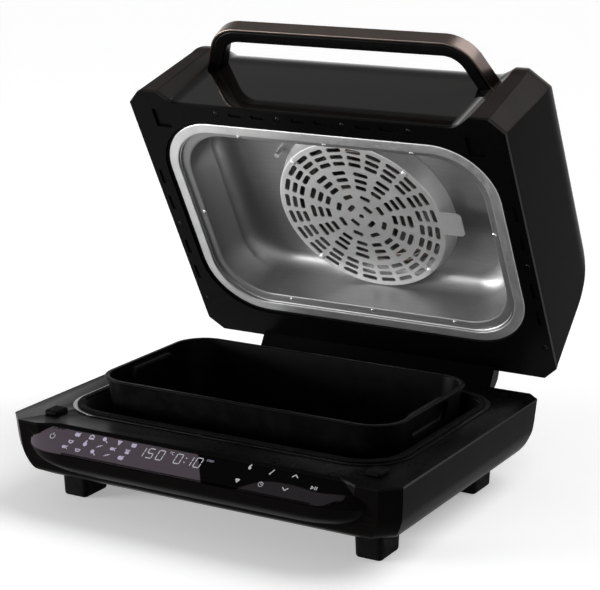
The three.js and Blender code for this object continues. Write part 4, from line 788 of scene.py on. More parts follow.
def panel_outline(clearance):
    bottom = -GLASS_LENGTH - clearance
    left_span = GLASS_LEFT - GLASS_LEFT_STRAIGHT + clearance
    right_span = GLASS_RIGHT - GLASS_RIGHT_STRAIGHT + clearance
    turn = [math.pi / 2 * i / GLASS_TURN_STEPS for i in range(GLASS_TURN_STEPS + 1)]
    outline = [
        (-GLASS_LEFT_STRAIGHT - left_span * math.cos(a), -GLASS_LEFT_CENTRE
         + (bottom + GLASS_LEFT_CENTRE) * math.sin(a))
        for a in turn
    ]
    outline += [(GLASS_RIGHT_STRAIGHT + right_span * math.sin(a), bottom * math.cos(a)) for a in turn]
    outline += [
        (-GLASS_LEFT_STRAIGHT - left_span * math.sin(a), GLASS_LEFT_CENTRE * (math.cos(a) - 1))
        for a in turn[:-1]
    ]
    return outline


def panel_skin(name, depth, clearance, top):
    high = DECK_Z + OVERRUN
    body = cut(
        body_solid("t", -clearance, TUB_LOW_Z, high),
        recess_tool("r", -clearance, high + OVERRUN),
    )
    tool = prism("p", panel_outline(clearance), -TOOL_INNER, TOOL_OUTER)
    tool.data.transform(slope_frame)
    far = BASE_HALF_X * 2
    low = DECK_Z - LIP_DROP + MERGED_GAP - clearance
    skin = cut(console_solid(name, 0, high), console_solid("i", -depth, high + OVERRUN))
    skin = common(skin, tool)
    skin = common(skin, block("b", (-far, -far, low), (far, 0, top)))
    return cut(skin, body)


# %% [markdown]
# ## Building the tub and its glass
#
# With those descriptions ready, the tub is the base solid, cut level just under the deck plate, with a
# pocket for the glass and a hollow for the well.

# %% Build the tub
DECK_THICKNESS = 3.0
tub_top = DECK_Z - DECK_THICKNESS - MERGED_GAP
HOLLOW_HALF_X, HOLLOW_HALF_Y, HOLLOW_RADIUS = 195.0, 138.0, 40.0
HOLLOW_LEAN_X, HOLLOW_LEAN_Y, HOLLOW_FLOOR_Z = 14.0, 20.0, 27.0
TUB_EDGE, GLASS_EDGE = 1.1, 0.5

tub = base_solid("tub_body", 0, TUB_LOW_Z, tub_top)
well_y = 7.0
hollow_floor = rounded_rect(
    HOLLOW_HALF_X - HOLLOW_LEAN_X, HOLLOW_HALF_Y - HOLLOW_LEAN_Y, HOLLOW_RADIUS, well_y)
hollow = loft("hollow", [
    (hollow_floor, HOLLOW_FLOOR_Z),
    (rounded_rect(HOLLOW_HALF_X, HOLLOW_HALF_Y, HOLLOW_RADIUS, well_y), tub_top + OVERRUN),
])
cut(tub, hollow, panel_skin("pocket", GLASS_DEPTH + GLASS_GAP, GLASS_GAP, DECK_Z))
soften(tub, TUB_EDGE)
seat(tub, "base", "gloss_dark", tub_dark, ["base_tub"])
print("tub faces", len(tub.data.polygons))

# %% Build the glass
glass = panel_skin("touch_panel_glass", GLASS_DEPTH, 0.0, tub_top)
soften(glass, GLASS_EDGE)
seat(glass, "base", "panel_glass", panel_glass, ["control_panel_glass"])

# %% [markdown]
# ## The marks behind the glass
#
# The display shows a temperature and a time in slanted seven-segment digits. Round it are touch marks:
# fifteen small food pictures and eight control signs. They are flat shapes, drawn on the slope in
# millimetres and given a hair of thickness. Each is put together from discs, bars and arcs, like a
# pictogram drawn with a compass and a ruler.

# %% Draw marks from discs, bars and arcs
MARK_LIFT = 0.06
MARK_THICKNESS = 0.05
BAR_TIP = 0.6


def disc_shape(x, y, radius, steps=14):
    angles = [2 * math.pi * i / steps for i in range(steps)]
    return [(x + radius * math.cos(a), y + radius * math.sin(a)) for a in angles]


def bar_shape(x0, y0, x1, y1, width):
    along = Vector((x1 - x0, y1 - y0)).normalized() * (width / 2)
    side, tip = Vector((-along.y, along.x)), along * BAR_TIP
    start, stop = Vector((x0, y0)), Vector((x1, y1))
    corners = (start - side, stop - side, stop + tip, stop + side, start + side, start - tip)
    return [tuple(corner) for corner in corners]


def arc_shape(x, y, radius, start, stop, width, steps=12):
    outer, inner = [], []
    for i in range(steps + 1):
        angle = math.radians(start + (stop - start) * i / steps)
        for edge, reach in ((outer, radius + width / 2), (inner, radius - width / 2)):
            edge.append((x + reach * math.cos(angle), y + reach * math.sin(angle)))
    return outer + inner[::-1]


def marks_piece(name, shapes):
    """Joins flat shapes, given as outlines on the slope, into one thin piece."""
    points, faces = [], []
    for shape in shapes:
        first, count = len(points), len(shape)
        points += [(x, y, MARK_LIFT) for x, y in shape]
        points += [(x, y, MARK_LIFT + MARK_THICKNESS) for x, y in shape]
        faces.append(tuple(first + i for i in range(count))[::-1])
        faces.append(tuple(first + count + i for i in range(count)))
        for i in range(count):
            j = (i + 1) % count
            faces.append((first + i, first + j, first + count + j, first + count + i))
    piece = mesh_piece(name, points, faces)
    face_outwards(piece)
    piece.data.transform(slope_frame)
    return piece


# %% Draw the digits
DIGIT_WIDTH, DIGIT_HEIGHT = 6.6, 10.4
DIGIT_STROKE = 0.95
DIGIT_SLANT = 0.16
SEGMENTS = {"0": "abcdef", "1": "bc", "5": "acdfg"}
DISPLAY_MIDDLE = -13.2


def digit_shapes(digit, left):
    w, h, s = DIGIT_WIDTH, DIGIT_HEIGHT, DIGIT_STROKE
    low = DISPLAY_MIDDLE - h / 2
    gap = s * 0.62
    places = {
        "a": (gap, h, w - gap, h), "g": (gap, h / 2, w - gap, h / 2), "d": (gap, 0, w - gap, 0),
        "f": (0, h / 2 + gap, 0, h - gap), "b": (w, h / 2 + gap, w, h - gap),
        "e": (0, gap, 0, h / 2 - gap), "c": (w, gap, w, h / 2 - gap),
    }
    shapes = []
    for name in SEGMENTS[digit]:
        x0, y0, x1, y1 = places[name]
        shape = bar_shape(x0, y0, x1, y1, s)
        shapes.append([(left + x + y * DIGIT_SLANT, low + y) for x, y in shape])
    return shapes


DIGITS = [("1", -58.0), ("5", -47.6), ("0", -36.2), ("0", -15.6), ("1", -3.6), ("0", 6.8)]
COLON_X, COLON_RISE, COLON_DOT = -3.6, 2.4, 0.75

digits = [shape for digit, left in DIGITS for shape in digit_shapes(digit, left)]
for rise in (-COLON_RISE, COLON_RISE):
    digits.append(disc_shape(COLON_X + rise * DIGIT_SLANT, DISPLAY_MIDDLE + rise, COLON_DOT))
digit_piece = marks_piece("display_digits", digits)
seat(digit_piece, "base", "panel_glass", digit_light)

# %% Draw the small units beside the digits
TICKS_LOW_X, TICKS_HIGH_X, TICKS = 19.4, 19.6, (0.0, 1.3, 2.6, 3.9, 5.2, 6.5)
TICK_LOW, TICK_HIGH = DISPLAY_MIDDLE + 3.4, DISPLAY_MIDDLE + 5.4

small_marks = [
    arc_shape(-21.8, DISPLAY_MIDDLE + 5.2, 0.8, 0, 360, 0.45),
    arc_shape(-18.9, DISPLAY_MIDDLE + 4.4, 1.5, 60, 300, 0.5),
]
small_marks += [bar_shape(TICKS_LOW_X + at, TICK_LOW, TICKS_HIGH_X + at, TICK_HIGH, 0.35) for at in TICKS]

# %% [markdown]
# Each food picture is a short list of discs, bars and arcs about its own middle. A table keeps them
# together, and one function moves them to their places on the panel.

# %% Draw the fifteen food marks
FOOD_ROWS = (-8.6, -16.4, -24.1)
FOOD_COLUMNS = ((-132, -115, -99, -82, -65), (-136, -119, -102, -86, -69), (-140, -124, -106, -89.5, -73))
FOODS = {
    "flame": [("disc", 0, -0.8, 2.3), ("bar", -1.2, 0, 0.6, 3.2, 1.8)],
    "steak": [("disc", -1.2, 0, 2.2), ("disc", 1.2, -0.4, 1.9), ("bar", 0, 1, 3, 2.2, 1.0)],
    "drumstick": [("disc", -1.0, 0.8, 2.2), ("bar", 0, 0, 2.8, -2.2, 0.9), ("disc", 3, -2.4, 0.7)],
    "fish": [
        ("disc", -1.6, 0, 1.7), ("disc", 0, 0, 1.6), ("bar", 1, 0, 3.2, 1.7, 0.9),
        ("bar", 1, 0, 3.2, -1.7, 0.9)],
    "cake": [("bar", -2.8, -1.4, 2.8, -1.4, 1.9), ("arc", 0, 0, 2.4, 0, 180, 1.2)],
    "bowl": [("arc", 0, 0, 2.4, 180, 360, 1.3), ("bar", -3, 0.2, 3, 0.2, 0.8)],
    "slice": [
        ("bar", -2.4, 1.8, 2.4, 1.8, 1.2), ("bar", -1.7, 1, 0, -2.6, 0.9), ("bar", 1.7, 1, 0, -2.6, 0.9),
        ("disc", 0, 0.2, 0.9)],
    "bread": [("disc", -1.4, 0.7, 1.6), ("disc", 1.4, 0.7, 1.6), ("bar", -2.2, -0.9, 2.2, -0.9, 2.2)],
    "chips": [
        ("bar", -1.5, -0.4, -2.25, 2.6, 0.8), ("bar", -0.5, -0.4, -0.75, 2.6, 0.8),
        ("bar", 0.5, -0.4, 0.75, 2.6, 0.8), ("bar", 1.5, -0.4, 2.25, 2.6, 0.8),
        ("bar", -1.9, -1.4, 1.9, -1.4, 2.0)],
    "skewer": [
        ("bar", -3.2, -1.6, 3.2, 1.6, 0.6), ("disc", -0.9, -0.4, 0.9), ("disc", 0.9, 0.5, 0.9)],
}
FOOD_ORDER = [
    "steak", "cake", "drumstick", "slice", "bread", "bowl", "flame", "skewer", "fish", "chips",
    "fish", "bowl", "drumstick", "skewer", "steak",
]


def food_shapes(food, x, y):
    shapes = []
    for kind, left, low, *rest in FOODS[food]:
        if kind == "disc":
            shapes.append(disc_shape(x + left, y + low, *rest))
        elif kind == "arc":
            shapes.append(arc_shape(x + left, y + low, *rest))
        else:
            right, high, width = rest
            shapes.append(bar_shape(x + left, y + low, x + right, y + high, width))
    return shapes


food_marks = []
foods = iter(FOOD_ORDER)
for y, columns in zip(FOOD_ROWS, FOOD_COLUMNS):
    for x in columns:
        food_marks += food_shapes(next(foods), x, y)
food_piece = marks_piece("food_marks", food_marks + small_marks)
seat(food_piece, "base", "panel_glass", mark_light)

# %% Draw the control marks
controls = [
    arc_shape(-159.6, -15.2, 2.7, 125, 415, 0.7), bar_shape(-159.6, -13.6, -159.6, -11.4, 0.7),
    disc_shape(66.0, -8.2, 1.5), bar_shape(64.9, -7.6, 66.6, -4.6, 1.5),
    bar_shape(88.6, -10.0, 91.6, -5.2, 1.0), disc_shape(88.6, -10.0, 0.9),
    bar_shape(112.0, -8.8, 115.0, -6.0, 0.95), bar_shape(115.0, -6.0, 118.0, -8.8, 0.95),
    disc_shape(57.9, -22.3, 1.25), disc_shape(60.1, -22.3, 1.25), bar_shape(58.0, -23.2, 59.0, -25.0, 1.3),
    bar_shape(60.0, -23.2, 59.0, -25.0, 1.3),
    arc_shape(84.0, -22.3, 2.4, 0, 360, 0.55), bar_shape(84.0, -22.3, 84.0, -20.7, 0.5),
    bar_shape(84.0, -22.3, 85.2, -22.3, 0.5),
    bar_shape(107.0, -21.0, 110.0, -23.8, 0.95), bar_shape(110.0, -23.8, 113.0, -21.0, 0.95),
    bar_shape(135.0, -17.0, 135.0, -14.0, 0.7), bar_shape(135.0, -17.0, 137.4, -15.5, 0.7),
    bar_shape(135.0, -14.0, 137.4, -15.5, 0.7), bar_shape(138.9, -17.1, 138.9, -13.9, 0.8),
    bar_shape(140.7, -17.1, 140.7, -13.9, 0.8),
]
control_piece = marks_piece("control_marks", controls)
seat(control_piece, "base", "panel_glass", digit_light)
print("marks on the panel:", len(digits), len(food_marks), len(controls))

# %% [markdown]
# ## Deck, feet and small base parts
#
# These CAD parts already have the right shape. What they lack is the small radius that every mould
# leaves, so each is copied, welded and bevelled.


# %% Soften the plain base parts
def dress(node, name, body, slot, material, width, segments=3):
    piece = copy_of(node, name)
    soften(piece, width, segments)
    return seat(piece, body, slot, material, [node])


deck = copy_of("deck_cover", "deck_plate")
soften(deck, 0.9)
seat_flat(deck, "base", "satin_black", satin_black, ["deck_cover"])
dress("bottom_cover", "bottom_plate", "base", "satin_black", satin_black, 0.5, 2)
dress("hinge_housing", "hinge_cradle", "base", "satin_black", satin_black, 1.0)
dress("cord_gland", "cord_outlet", "base", "satin_black", rubber, 1.0)
for place in ("front_left", "front_right", "rear_left", "rear_right"):
    dress("foot_" + place, "rubber_foot_" + place, "base", "black_rubber", rubber, 1.2)
for side in ("left", "right"):
    dress("lid_stop_" + side, "lid_bumper_" + side, "base", "black_rubber", rubber, 0.6)

# %% [markdown]
# ## The well and its seal
#
# Under the pot is a pressed steel tray. Its flange lies on the deck round a soft black seal. The steel's
# colour has a painted reflection at the left corner and painted shade elsewhere. Both are lofts that run
# up one side and down the other, so the wall has a true thickness.

# %% Build the well liner
WELL_HALF_X, WELL_HALF_Y, WELL_RADIUS = 191.3, 132.2, 50.0
WELL_FLANGE, WELL_WALL, WELL_DRAFT = 11.3, 1.2, 8.0
WELL_FLOOR_Z = 34.5
WELL_HEEL = 7.0
flange_low = DECK_Z + MERGED_GAP
flange_top = flange_low + WELL_WALL
wall_x, wall_y = WELL_HALF_X - WELL_FLANGE, WELL_HALF_Y - WELL_FLANGE
wall_radius = WELL_RADIUS - WELL_FLANGE


def well_rect(in_by):
    return rounded_rect(wall_x - in_by, wall_y - in_by, wall_radius - in_by / 2, well_y)


def heel(rect, in_at_floor, floor_z, radius, steps=6):
    """Sections that round a wall into a floor: from the floor up to the wall."""
    sections = []
    for i in range(steps + 1):
        angle = math.pi / 2 * i / steps
        sections.append((
            rect(in_at_floor + radius * (1 - math.sin(angle))),
            floor_z + radius * (1 - math.cos(angle)),
        ))
    return sections


outside = heel(well_rect, WELL_DRAFT - WELL_WALL, WELL_FLOOR_Z, WELL_HEEL)
inside = heel(well_rect, WELL_DRAFT, WELL_FLOOR_Z + WELL_WALL, WELL_HEEL)
well_sections = outside + [
    (well_rect(-WELL_WALL), flange_low),
    (rounded_rect(WELL_HALF_X, WELL_HALF_Y, WELL_RADIUS, well_y), flange_low),
    (rounded_rect(WELL_HALF_X, WELL_HALF_Y, WELL_RADIUS, well_y), flange_top),
    (well_rect(-WELL_WALL), flange_top),
    (well_rect(0), flange_top - WELL_WALL),
] + inside[::-1]
well = loft("well_tray", well_sections)
soften(well, 0.25, 2, tidy=False)
seat(well, "base", "brushed_steel", well_steel, ["well_liner"])

# %% Build the seal round the well
SEAL_INSET, SEAL_WIDTH, SEAL_HEIGHT = 4.3, 7.4, 1.9


def ring_loft(name, half_x, half_y, radius, width, centre_y, profile):
    """A ring from a cross-section of (share of the width inwards, height) points."""
    return loft(name, [
        (rounded_rect(half_x - width * share, half_y - width * share, radius - width * share, centre_y), z)
        for share, z in profile
    ], closed=True)


seal_low = flange_top + MERGED_GAP
seal_bend, seal_shoulder, seal_top = (seal_low + SEAL_HEIGHT * share for share in (0.5, 0.85, 1.0))
seal = ring_loft(
    "well_gasket", WELL_HALF_X - SEAL_INSET, WELL_HALF_Y - SEAL_INSET, WELL_RADIUS - SEAL_INSET,
    SEAL_WIDTH, well_y,
    [(1.0, seal_low), (0.0, seal_low), (0.0, seal_bend), (0.08, seal_shoulder), (0.25, seal_top),
     (0.75, seal_top), (0.92, seal_shoulder), (1.0, seal_bend)],
)
soften(seal, 0, tidy=False)
seat(seal, "base", "black_rubber", rubber, ["well_seal"])

# %% [markdown]
# ## The cooking pot
#
# The pot is die-cast: a heavy floor with a round heel, walls that lean out a little, and a flat rim
# with a rolled edge. Each end has a finger grip, a pocket pressed in from outside that shows as a
# rounded bulge inside.

# %% Build the pot
POT_Y = 10.0
POT_HALF_X, POT_HALF_Y, POT_RADIUS = 172.3, 95.9, 35.5
POT_RIM_Z, POT_RIM_WIDTH, POT_RIM_HEIGHT = 117.0, 3.0, 2.6
POT_WALL, POT_DRAFT, POT_HEEL = 2.0, 8.0, 7.0
pot_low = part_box("cooking_pot")[0].z / MM
side_x, side_y = POT_HALF_X - POT_RIM_WIDTH, POT_HALF_Y - POT_RIM_WIDTH
side_radius = POT_RADIUS - POT_RIM_WIDTH


def pot_rect(in_by):
    return rounded_rect(side_x - in_by, side_y - in_by, side_radius - in_by / 2, POT_Y)


def rim_rect(out_by):
    return rounded_rect(side_x + out_by, side_y + out_by, side_radius + out_by, POT_Y)


rim_low = POT_RIM_Z - POT_RIM_HEIGHT
pot_outside = heel(pot_rect, POT_DRAFT, pot_low, POT_HEEL) + [(pot_rect(0), rim_low)]
pot_rim = [
    (rim_rect(POT_RIM_WIDTH * 0.75), rim_low), (rim_rect(POT_RIM_WIDTH), rim_low + 0.6),
    (rim_rect(POT_RIM_WIDTH), POT_RIM_Z - 0.8), (rim_rect(POT_RIM_WIDTH * 0.7), POT_RIM_Z),
    (pot_rect(POT_WALL * 0.6), POT_RIM_Z), (pot_rect(POT_WALL), POT_RIM_Z - 0.8),
]
pot_inside = heel(pot_rect, POT_DRAFT + POT_WALL, pot_low + POT_WALL, POT_HEEL)
pot = loft("coated_pot", pot_outside + pot_rim + pot_inside[::-1])

# %% Press the grips into the pot
GRIP_LENGTH, GRIP_HEIGHT, GRIP_DROP, GRIP_DEPTH = 76.0, 22.0, 6.0, 9.0
GRIP_RADIUS, GRIP_ROUND, BULGE_SUNK = 8.0, 2.0, 1.0
GRIP_EDGE, GRIP_EDGE_ANGLE = 0.5, math.radians(35)
grip_top = POT_RIM_Z - GRIP_DROP
grip_low = grip_top - GRIP_HEIGHT


def grip_tool(name, side, near, far, grow):
    """A rounded slot that points in from one end of the pot."""
    outline = rounded_rect(
        GRIP_LENGTH / 2 + grow, GRIP_HEIGHT / 2 + grow, GRIP_RADIUS + grow, steps=8)
    tool = loft(name, [
        (inset(outline, GRIP_ROUND), near), (outline, near + GRIP_ROUND), (outline, far)])
    middle_z = (grip_top + grip_low) / 2
    tool.data.transform(Matrix((
        (0, 0, side, 0),
        (1, 0, 0, POT_Y),
        (0, 1, 0, middle_z),
        (0, 0, 0, 1),
    )))
    face_outwards(tool)
    return tool


for side in (-1, 1):
    bulge = grip_tool("bulge", side, side_x - GRIP_DEPTH - POT_WALL, side_x - BULGE_SUNK, POT_WALL)
    hull = loft("hull", pot_outside)
    join(pot, common(bulge, hull))
    cut(pot, grip_tool("pocket", side, side_x - GRIP_DEPTH, POT_HALF_X + OVERRUN, 0))
soften(pot, GRIP_EDGE, 2, GRIP_EDGE_ANGLE)
seat(pot, "pot", "pot_coating", pot_coating, ["cooking_pot"])
print("pot faces", len(pot.data.polygons))

# %% [markdown]
# ## The lid's outer shell
#
# The lid is one deep glossy moulding. In front it is scooped out behind the handle, between two blocks,
# and its corners are cut off at an angle. All faces lean in towards the top, and the top edge is one
# large round. The outline is drawn by a rule, with the rise above the rim and the tuck of the top round
# as its two inputs, so the scoop, the cut corners and the lean all fade together.

# %% Describe the lid outline
LID_Z, LID_TOP_Z = 92.0, 232.0
LID_HALF_X, LID_FRONT, LID_REAR = 218.0, 165.0, 177.0
LID_ROUND, LID_WALL = 38.0, 2.6
SIDE_ROUND_SHARE, REAR_ROUND_RISE, REAR_ROUND_TUCK = 0.6, 60.0, 80.0
LID_FRONT_CHAMFER, LID_REAR_CHAMFER = 15.5, 16.0
SIDE_LEAN, FRONT_LEAN, RECESS_LEAN, REAR_LEAN, CHAMFER_GROWTH = 0.01, 0.2, 0.17, 0.26, 0.04
TOP_NOTCH_LOSS, TOP_HALF_LOSS, TOP_FLANK_LOSS, TOP_CHAMFER_GAIN = 0.2, 9.0, 5.0, 5.0
NOTCH_DEPTH, NOTCH_HALF, FLANK_WIDTH = 13.6, 157.0, 24.0
FLANK_STEPS, ROUND_STEPS, FACE_STEPS = 16, 18, 18
RIM_HEIGHT = 4.0
RIM_TOP_Z = LID_Z + RIM_HEIGHT
round_low = LID_TOP_Z - LID_ROUND


def rear_at(level):
    """The lid's back leans in, then goes over into the top in one long round."""
    start = LID_TOP_Z - LID_Z - REAR_ROUND_RISE
    share = min(max((level - start) / REAR_ROUND_RISE, 0), 1)
    return LID_REAR - level * REAR_LEAN - REAR_ROUND_TUCK * (1 - math.sqrt(1 - share * share))


def lid_outline(rise, tuck, level):
    fade = tuck / LID_ROUND
    half = LID_HALF_X - rise * SIDE_LEAN - tuck * SIDE_ROUND_SHARE
    front = -LID_FRONT + rise * FRONT_LEAN + tuck
    rear = rear_at(level)
    depth = (NOTCH_DEPTH + rise * (RECESS_LEAN - FRONT_LEAN)) * (1 - TOP_NOTCH_LOSS * fade)
    notch = NOTCH_HALF - TOP_HALF_LOSS * fade
    flank = FLANK_WIDTH - TOP_FLANK_LOSS * fade
    chamfer = LID_FRONT_CHAMFER + rise * CHAMFER_GROWTH + TOP_CHAMFER_GAIN * fade
    right = []
    for i in range(FLANK_STEPS + 1):
        t = 1 - i / FLANK_STEPS
        right.append((notch + flank * (1 - t), front + depth * math.sin(t * math.pi / 2)))
    right += [
        (half - chamfer, front), (half, front + chamfer),
        (half, rear - LID_REAR_CHAMFER), (half - LID_REAR_CHAMFER, rear),
    ]
    return [(-x, y) for x, y in reversed(right)] + right


def lid_solid(name, grow, low):
    sections = [
        (inset(lid_outline(z - LID_Z, 0, z - LID_Z), -grow), z)
        for z in levels(low, round_low, FACE_STEPS)
    ]
    for i in range(1, ROUND_STEPS + 1):
        angle = math.pi / 2 * i / ROUND_STEPS
        level = round_low + LID_ROUND * math.sin(angle) - LID_Z
        outline = lid_outline(round_low - LID_Z, LID_ROUND * (1 - math.cos(angle)), level)
        sections.append((inset(outline, -grow), round_low + (LID_ROUND + grow) * math.sin(angle)))
    return loft(name, sections)


# %% Build the shell, with its rear vents
SHELL_EDGE, SHELL_EDGE_STEPS, SHELL_EDGE_ANGLE = 2.4, 5, math.radians(22)
VENT_COUNT, VENT_PITCH, VENT_WIDTH, VENT_HEIGHT, VENT_LOW_Z = 12, 16.0, 6.0, 26.0, 160.0
VENT_RADIUS, VENT_CORNER_STEPS, VENT_REACH = VENT_WIDTH / 2 - 0.1, 5, LID_ROUND * 1.5

shell_low = RIM_TOP_Z + MERGED_GAP
shell = lid_solid("lid_outer_shell", 0, shell_low)
soften(shell, SHELL_EDGE, SHELL_EDGE_STEPS, SHELL_EDGE_ANGLE, tidy=False)
cut(shell, lid_solid("inner", -LID_WALL, shell_low - OVERRUN))
point_back = Matrix(((1, 0, 0, 0), (0, 0, 1, LID_REAR - LID_ROUND), (0, 1, 0, 0), (0, 0, 0, 1)))
for i in range(VENT_COUNT):
    outline = rounded_rect(
        VENT_WIDTH / 2, VENT_HEIGHT / 2, VENT_RADIUS, VENT_LOW_Z + VENT_HEIGHT / 2,
        (i - (VENT_COUNT - 1) / 2) * VENT_PITCH, VENT_CORNER_STEPS)
    tool = prism("vent", outline, 0, VENT_REACH)
    tool.data.transform(point_back)
    face_outwards(tool)
    cut(shell, tool)
shade(shell)
seat(shell, "lid", "gloss_dark", gloss_dark, ["lid_shell"], on_lid=True)

# %% [markdown]
# The polished fronts mirror a dark room. The cut corners and the flanks are the same moulding, so the
# faces that turn away from the front, outside the scoop, get painted light: a painted highlight on the
# cut corners and painted shade on the flanks.

# %% Paint a highlight on the cut corners and shade on the flanks
CORNER_FACING, FLANK_FACING, UP_FACING, CORNER_FROM_X = 0.30, 0.93, 0.50, 0.168
shell.data.materials.append(chamfer_painted_light)
shell.data.materials.append(flank_painted_shade)
for face in shell.data.polygons:
    turned = abs(face.normal.x) > CORNER_FACING or face.normal.z > UP_FACING
    if turned and abs(face.center.x) > CORNER_FROM_X:
        face.material_index = 2 if abs(face.normal.x) > FLANK_FACING else 1
print("shell faces", len(shell.data.polygons))

# %% [markdown]
# ## Rim, ring and gasket
#
# A satin black rim closes the lid's underside. It carries a thin black gasket and the bright steel ring
# that frames the hot cavity.

# %% Dress the rim
rim = copy_of("lid_bezel", "lid_rim")
seat_flat(rim, "lid", "satin_black", satin_black, ["lid_bezel"])

# %% Build the ring and the gasket
RING_Y = 5.6
RING_HALF_X, RING_HALF_Y, RING_RADIUS, RING_WIDTH, RING_HEIGHT = 195.8, 131.4, 67.0, 11.4, 1.4
RING_CORNER = [(0.0, 0.5), (0.05, 0.12), (0.12, 0.0)]
GASKET_WIDTH, GASKET_HEIGHT = 2.8, 2.0
GASKET_CORNER = [(0.0, 0.6), (0.15, 0.25), (0.4, 0.0)]
gasket_out = GASKET_WIDTH + MERGED_GAP


def hanging_profile(height, corner):
    """A strip that hangs from the rim's top. One lower corner is given, the other mirrors it."""
    low = RIM_TOP_Z - height
    left = [(share, low + rise) for share, rise in corner]
    right = [(1 - share, z) for share, z in reversed(left)]
    return [(0.0, RIM_TOP_Z), *left, *right, (1.0, RIM_TOP_Z)]


ring = ring_loft(
    "steel_frame_ring", RING_HALF_X, RING_HALF_Y, RING_RADIUS, RING_WIDTH, RING_Y,
    hanging_profile(RING_HEIGHT, RING_CORNER))
soften(ring, 0, tidy=False)
seat(ring, "lid", "brushed_steel", ring_steel, ["steel_ring"], on_lid=True)

gasket = ring_loft(
    "lid_rim_gasket", RING_HALF_X + gasket_out, RING_HALF_Y + gasket_out, RING_RADIUS + gasket_out,
    GASKET_WIDTH, RING_Y, hanging_profile(GASKET_HEIGHT, GASKET_CORNER))
soften(gasket, 0, tidy=False)
seat(gasket, "lid", "black_rubber", rubber, ["lid_gasket"], on_lid=True)

# %% [markdown]
# ## The steel lining of the lid
#
# The lining is deep-drawn from one sheet: a flange, a narrow ledge, walls that lean in, a soft round
# into the roof, and a round pocket for the fan. It is one closed loft that goes up the inside and comes
# down the outside. The last roof sections change from a rounded rectangle to a circle, with as many
# points, so the faces stay in rows.

# %% Build the lining
LINER_WALL, LINER_FLANGE, LINER_LIP, LEDGE_WIDTH, LEDGE_RISE = 1.2, 8.0, 3.0, 9.8, 1.0
LEDGE_SIDE, LINER_STRAIGHT = 8.3, 19.0
LINER_HEIGHT = 61.0
LINER_SIDE_DRAFT, LINER_END_DRAFT = 8.0, 1.2
FILLET_RISE, SIDE_FILLET, END_FILLET = 24.0, 26.0, 17.0
MOUTH_HALF_X, MOUTH_HALF_Y, MOUTH_RADIUS = 183.0, 121.3, 59.0
FAN_Y, POCKET_RADIUS, POCKET_HEIGHT, SHAFT_HOLE = 16.2, 92.0, 25.0, 6.0
POCKET_EDGE, POCKET_ROUND = 1.5, 3.0
PRESS_ROUND, LEDGE_EDGE, LEDGE_EDGE_RISE = 0.8, 1.5, 0.3
FILLET_STEPS, FLANGE_RADIUS_GAIN = 12, 18

liner_low = RIM_TOP_Z + MERGED_GAP
roof_z = RIM_TOP_Z + LINER_HEIGHT
pocket_z = roof_z + POCKET_HEIGHT
ledge_z = liner_low + LINER_LIP
flange_x = RING_HALF_X + gasket_out + MERGED_GAP + LINER_FLANGE
flange_y = RING_HALF_Y + gasket_out + MERGED_GAP + LINER_FLANGE


def mouth_rect(dx, dy, dr, grow):
    return rounded_rect(MOUTH_HALF_X - dx + grow, MOUTH_HALF_Y - dy + grow, MOUTH_RADIUS - dr + grow, RING_Y)


def pocket_circle(radius):
    """A circle with the points of a rounded rectangle, in the same order."""
    outline = rounded_rect(MOUTH_HALF_X, MOUTH_HALF_Y, MOUTH_RADIUS)
    angles = []
    for quarter in range(4):
        for i in range(CORNER_STEPS + 1):
            angles.append(math.radians(-90 + 90 * quarter + 90 * (i + 0.5) / (CORNER_STEPS + 1)))
    return [(radius * math.cos(a), FAN_Y + radius * math.sin(a)) for a in angles[:len(outline)]]


def lining_sections(grow):
    wall_in_x, wall_in_y = LEDGE_SIDE + LINER_SIDE_DRAFT, LEDGE_WIDTH + LINER_END_DRAFT
    ledge_high = ledge_z + LEDGE_RISE + grow
    sections = [
        (mouth_rect(0, 0, 0, grow), ledge_z + grow - PRESS_ROUND),
        (mouth_rect(PRESS_ROUND, PRESS_ROUND, PRESS_ROUND, grow), ledge_z + grow),
        (mouth_rect(LEDGE_SIDE - LEDGE_EDGE, LEDGE_WIDTH - LEDGE_EDGE, LEDGE_WIDTH / 2, grow),
         ledge_high - LEDGE_EDGE_RISE),
        (mouth_rect(LEDGE_SIDE, LEDGE_WIDTH, LEDGE_WIDTH / 2, grow), ledge_high + PRESS_ROUND),
        (mouth_rect(LEDGE_SIDE, LEDGE_WIDTH, LEDGE_WIDTH / 2, grow), ledge_high + LINER_STRAIGHT),
    ]
    start = roof_z - FILLET_RISE
    for i in range(FILLET_STEPS + 1):
        angle = math.pi / 2 * i / FILLET_STEPS
        rise, run = math.sin(angle), 1 - math.cos(angle)
        outline = mouth_rect(
            wall_in_x + SIDE_FILLET * run, wall_in_y + END_FILLET * run, LEDGE_WIDTH + END_FILLET * run,
            grow)
        sections.append((outline, start + (FILLET_RISE + grow) * rise))
    sections += [
        (pocket_circle(POCKET_RADIUS + grow + POCKET_EDGE), roof_z + grow),
        (pocket_circle(POCKET_RADIUS + grow), roof_z + grow + POCKET_EDGE),
        (pocket_circle(POCKET_RADIUS + grow), pocket_z - POCKET_ROUND),
        (pocket_circle(POCKET_RADIUS - POCKET_ROUND + grow), pocket_z + grow),
        (pocket_circle(SHAFT_HOLE), pocket_z + grow),
    ]
    return sections


flange = rounded_rect(flange_x, flange_y, MOUTH_RADIUS + FLANGE_RADIUS_GAIN, RING_Y)
lining = loft("steel_lining", [
    (mouth_rect(0, 0, 0, 0), liner_low),
    *lining_sections(0.0),
    *lining_sections(LINER_WALL)[::-1],
    (mouth_rect(0, 0, 0, LINER_WALL), liner_low + LINER_WALL),
    (flange, liner_low + LINER_WALL),
    (flange, liner_low),
], closed=True)
soften(lining, 0, tidy=False)
seat(lining, "lid", "brushed_steel", lining_steel, ["lid_liner"], on_lid=True)
print("lining faces", len(lining.data.polygons))

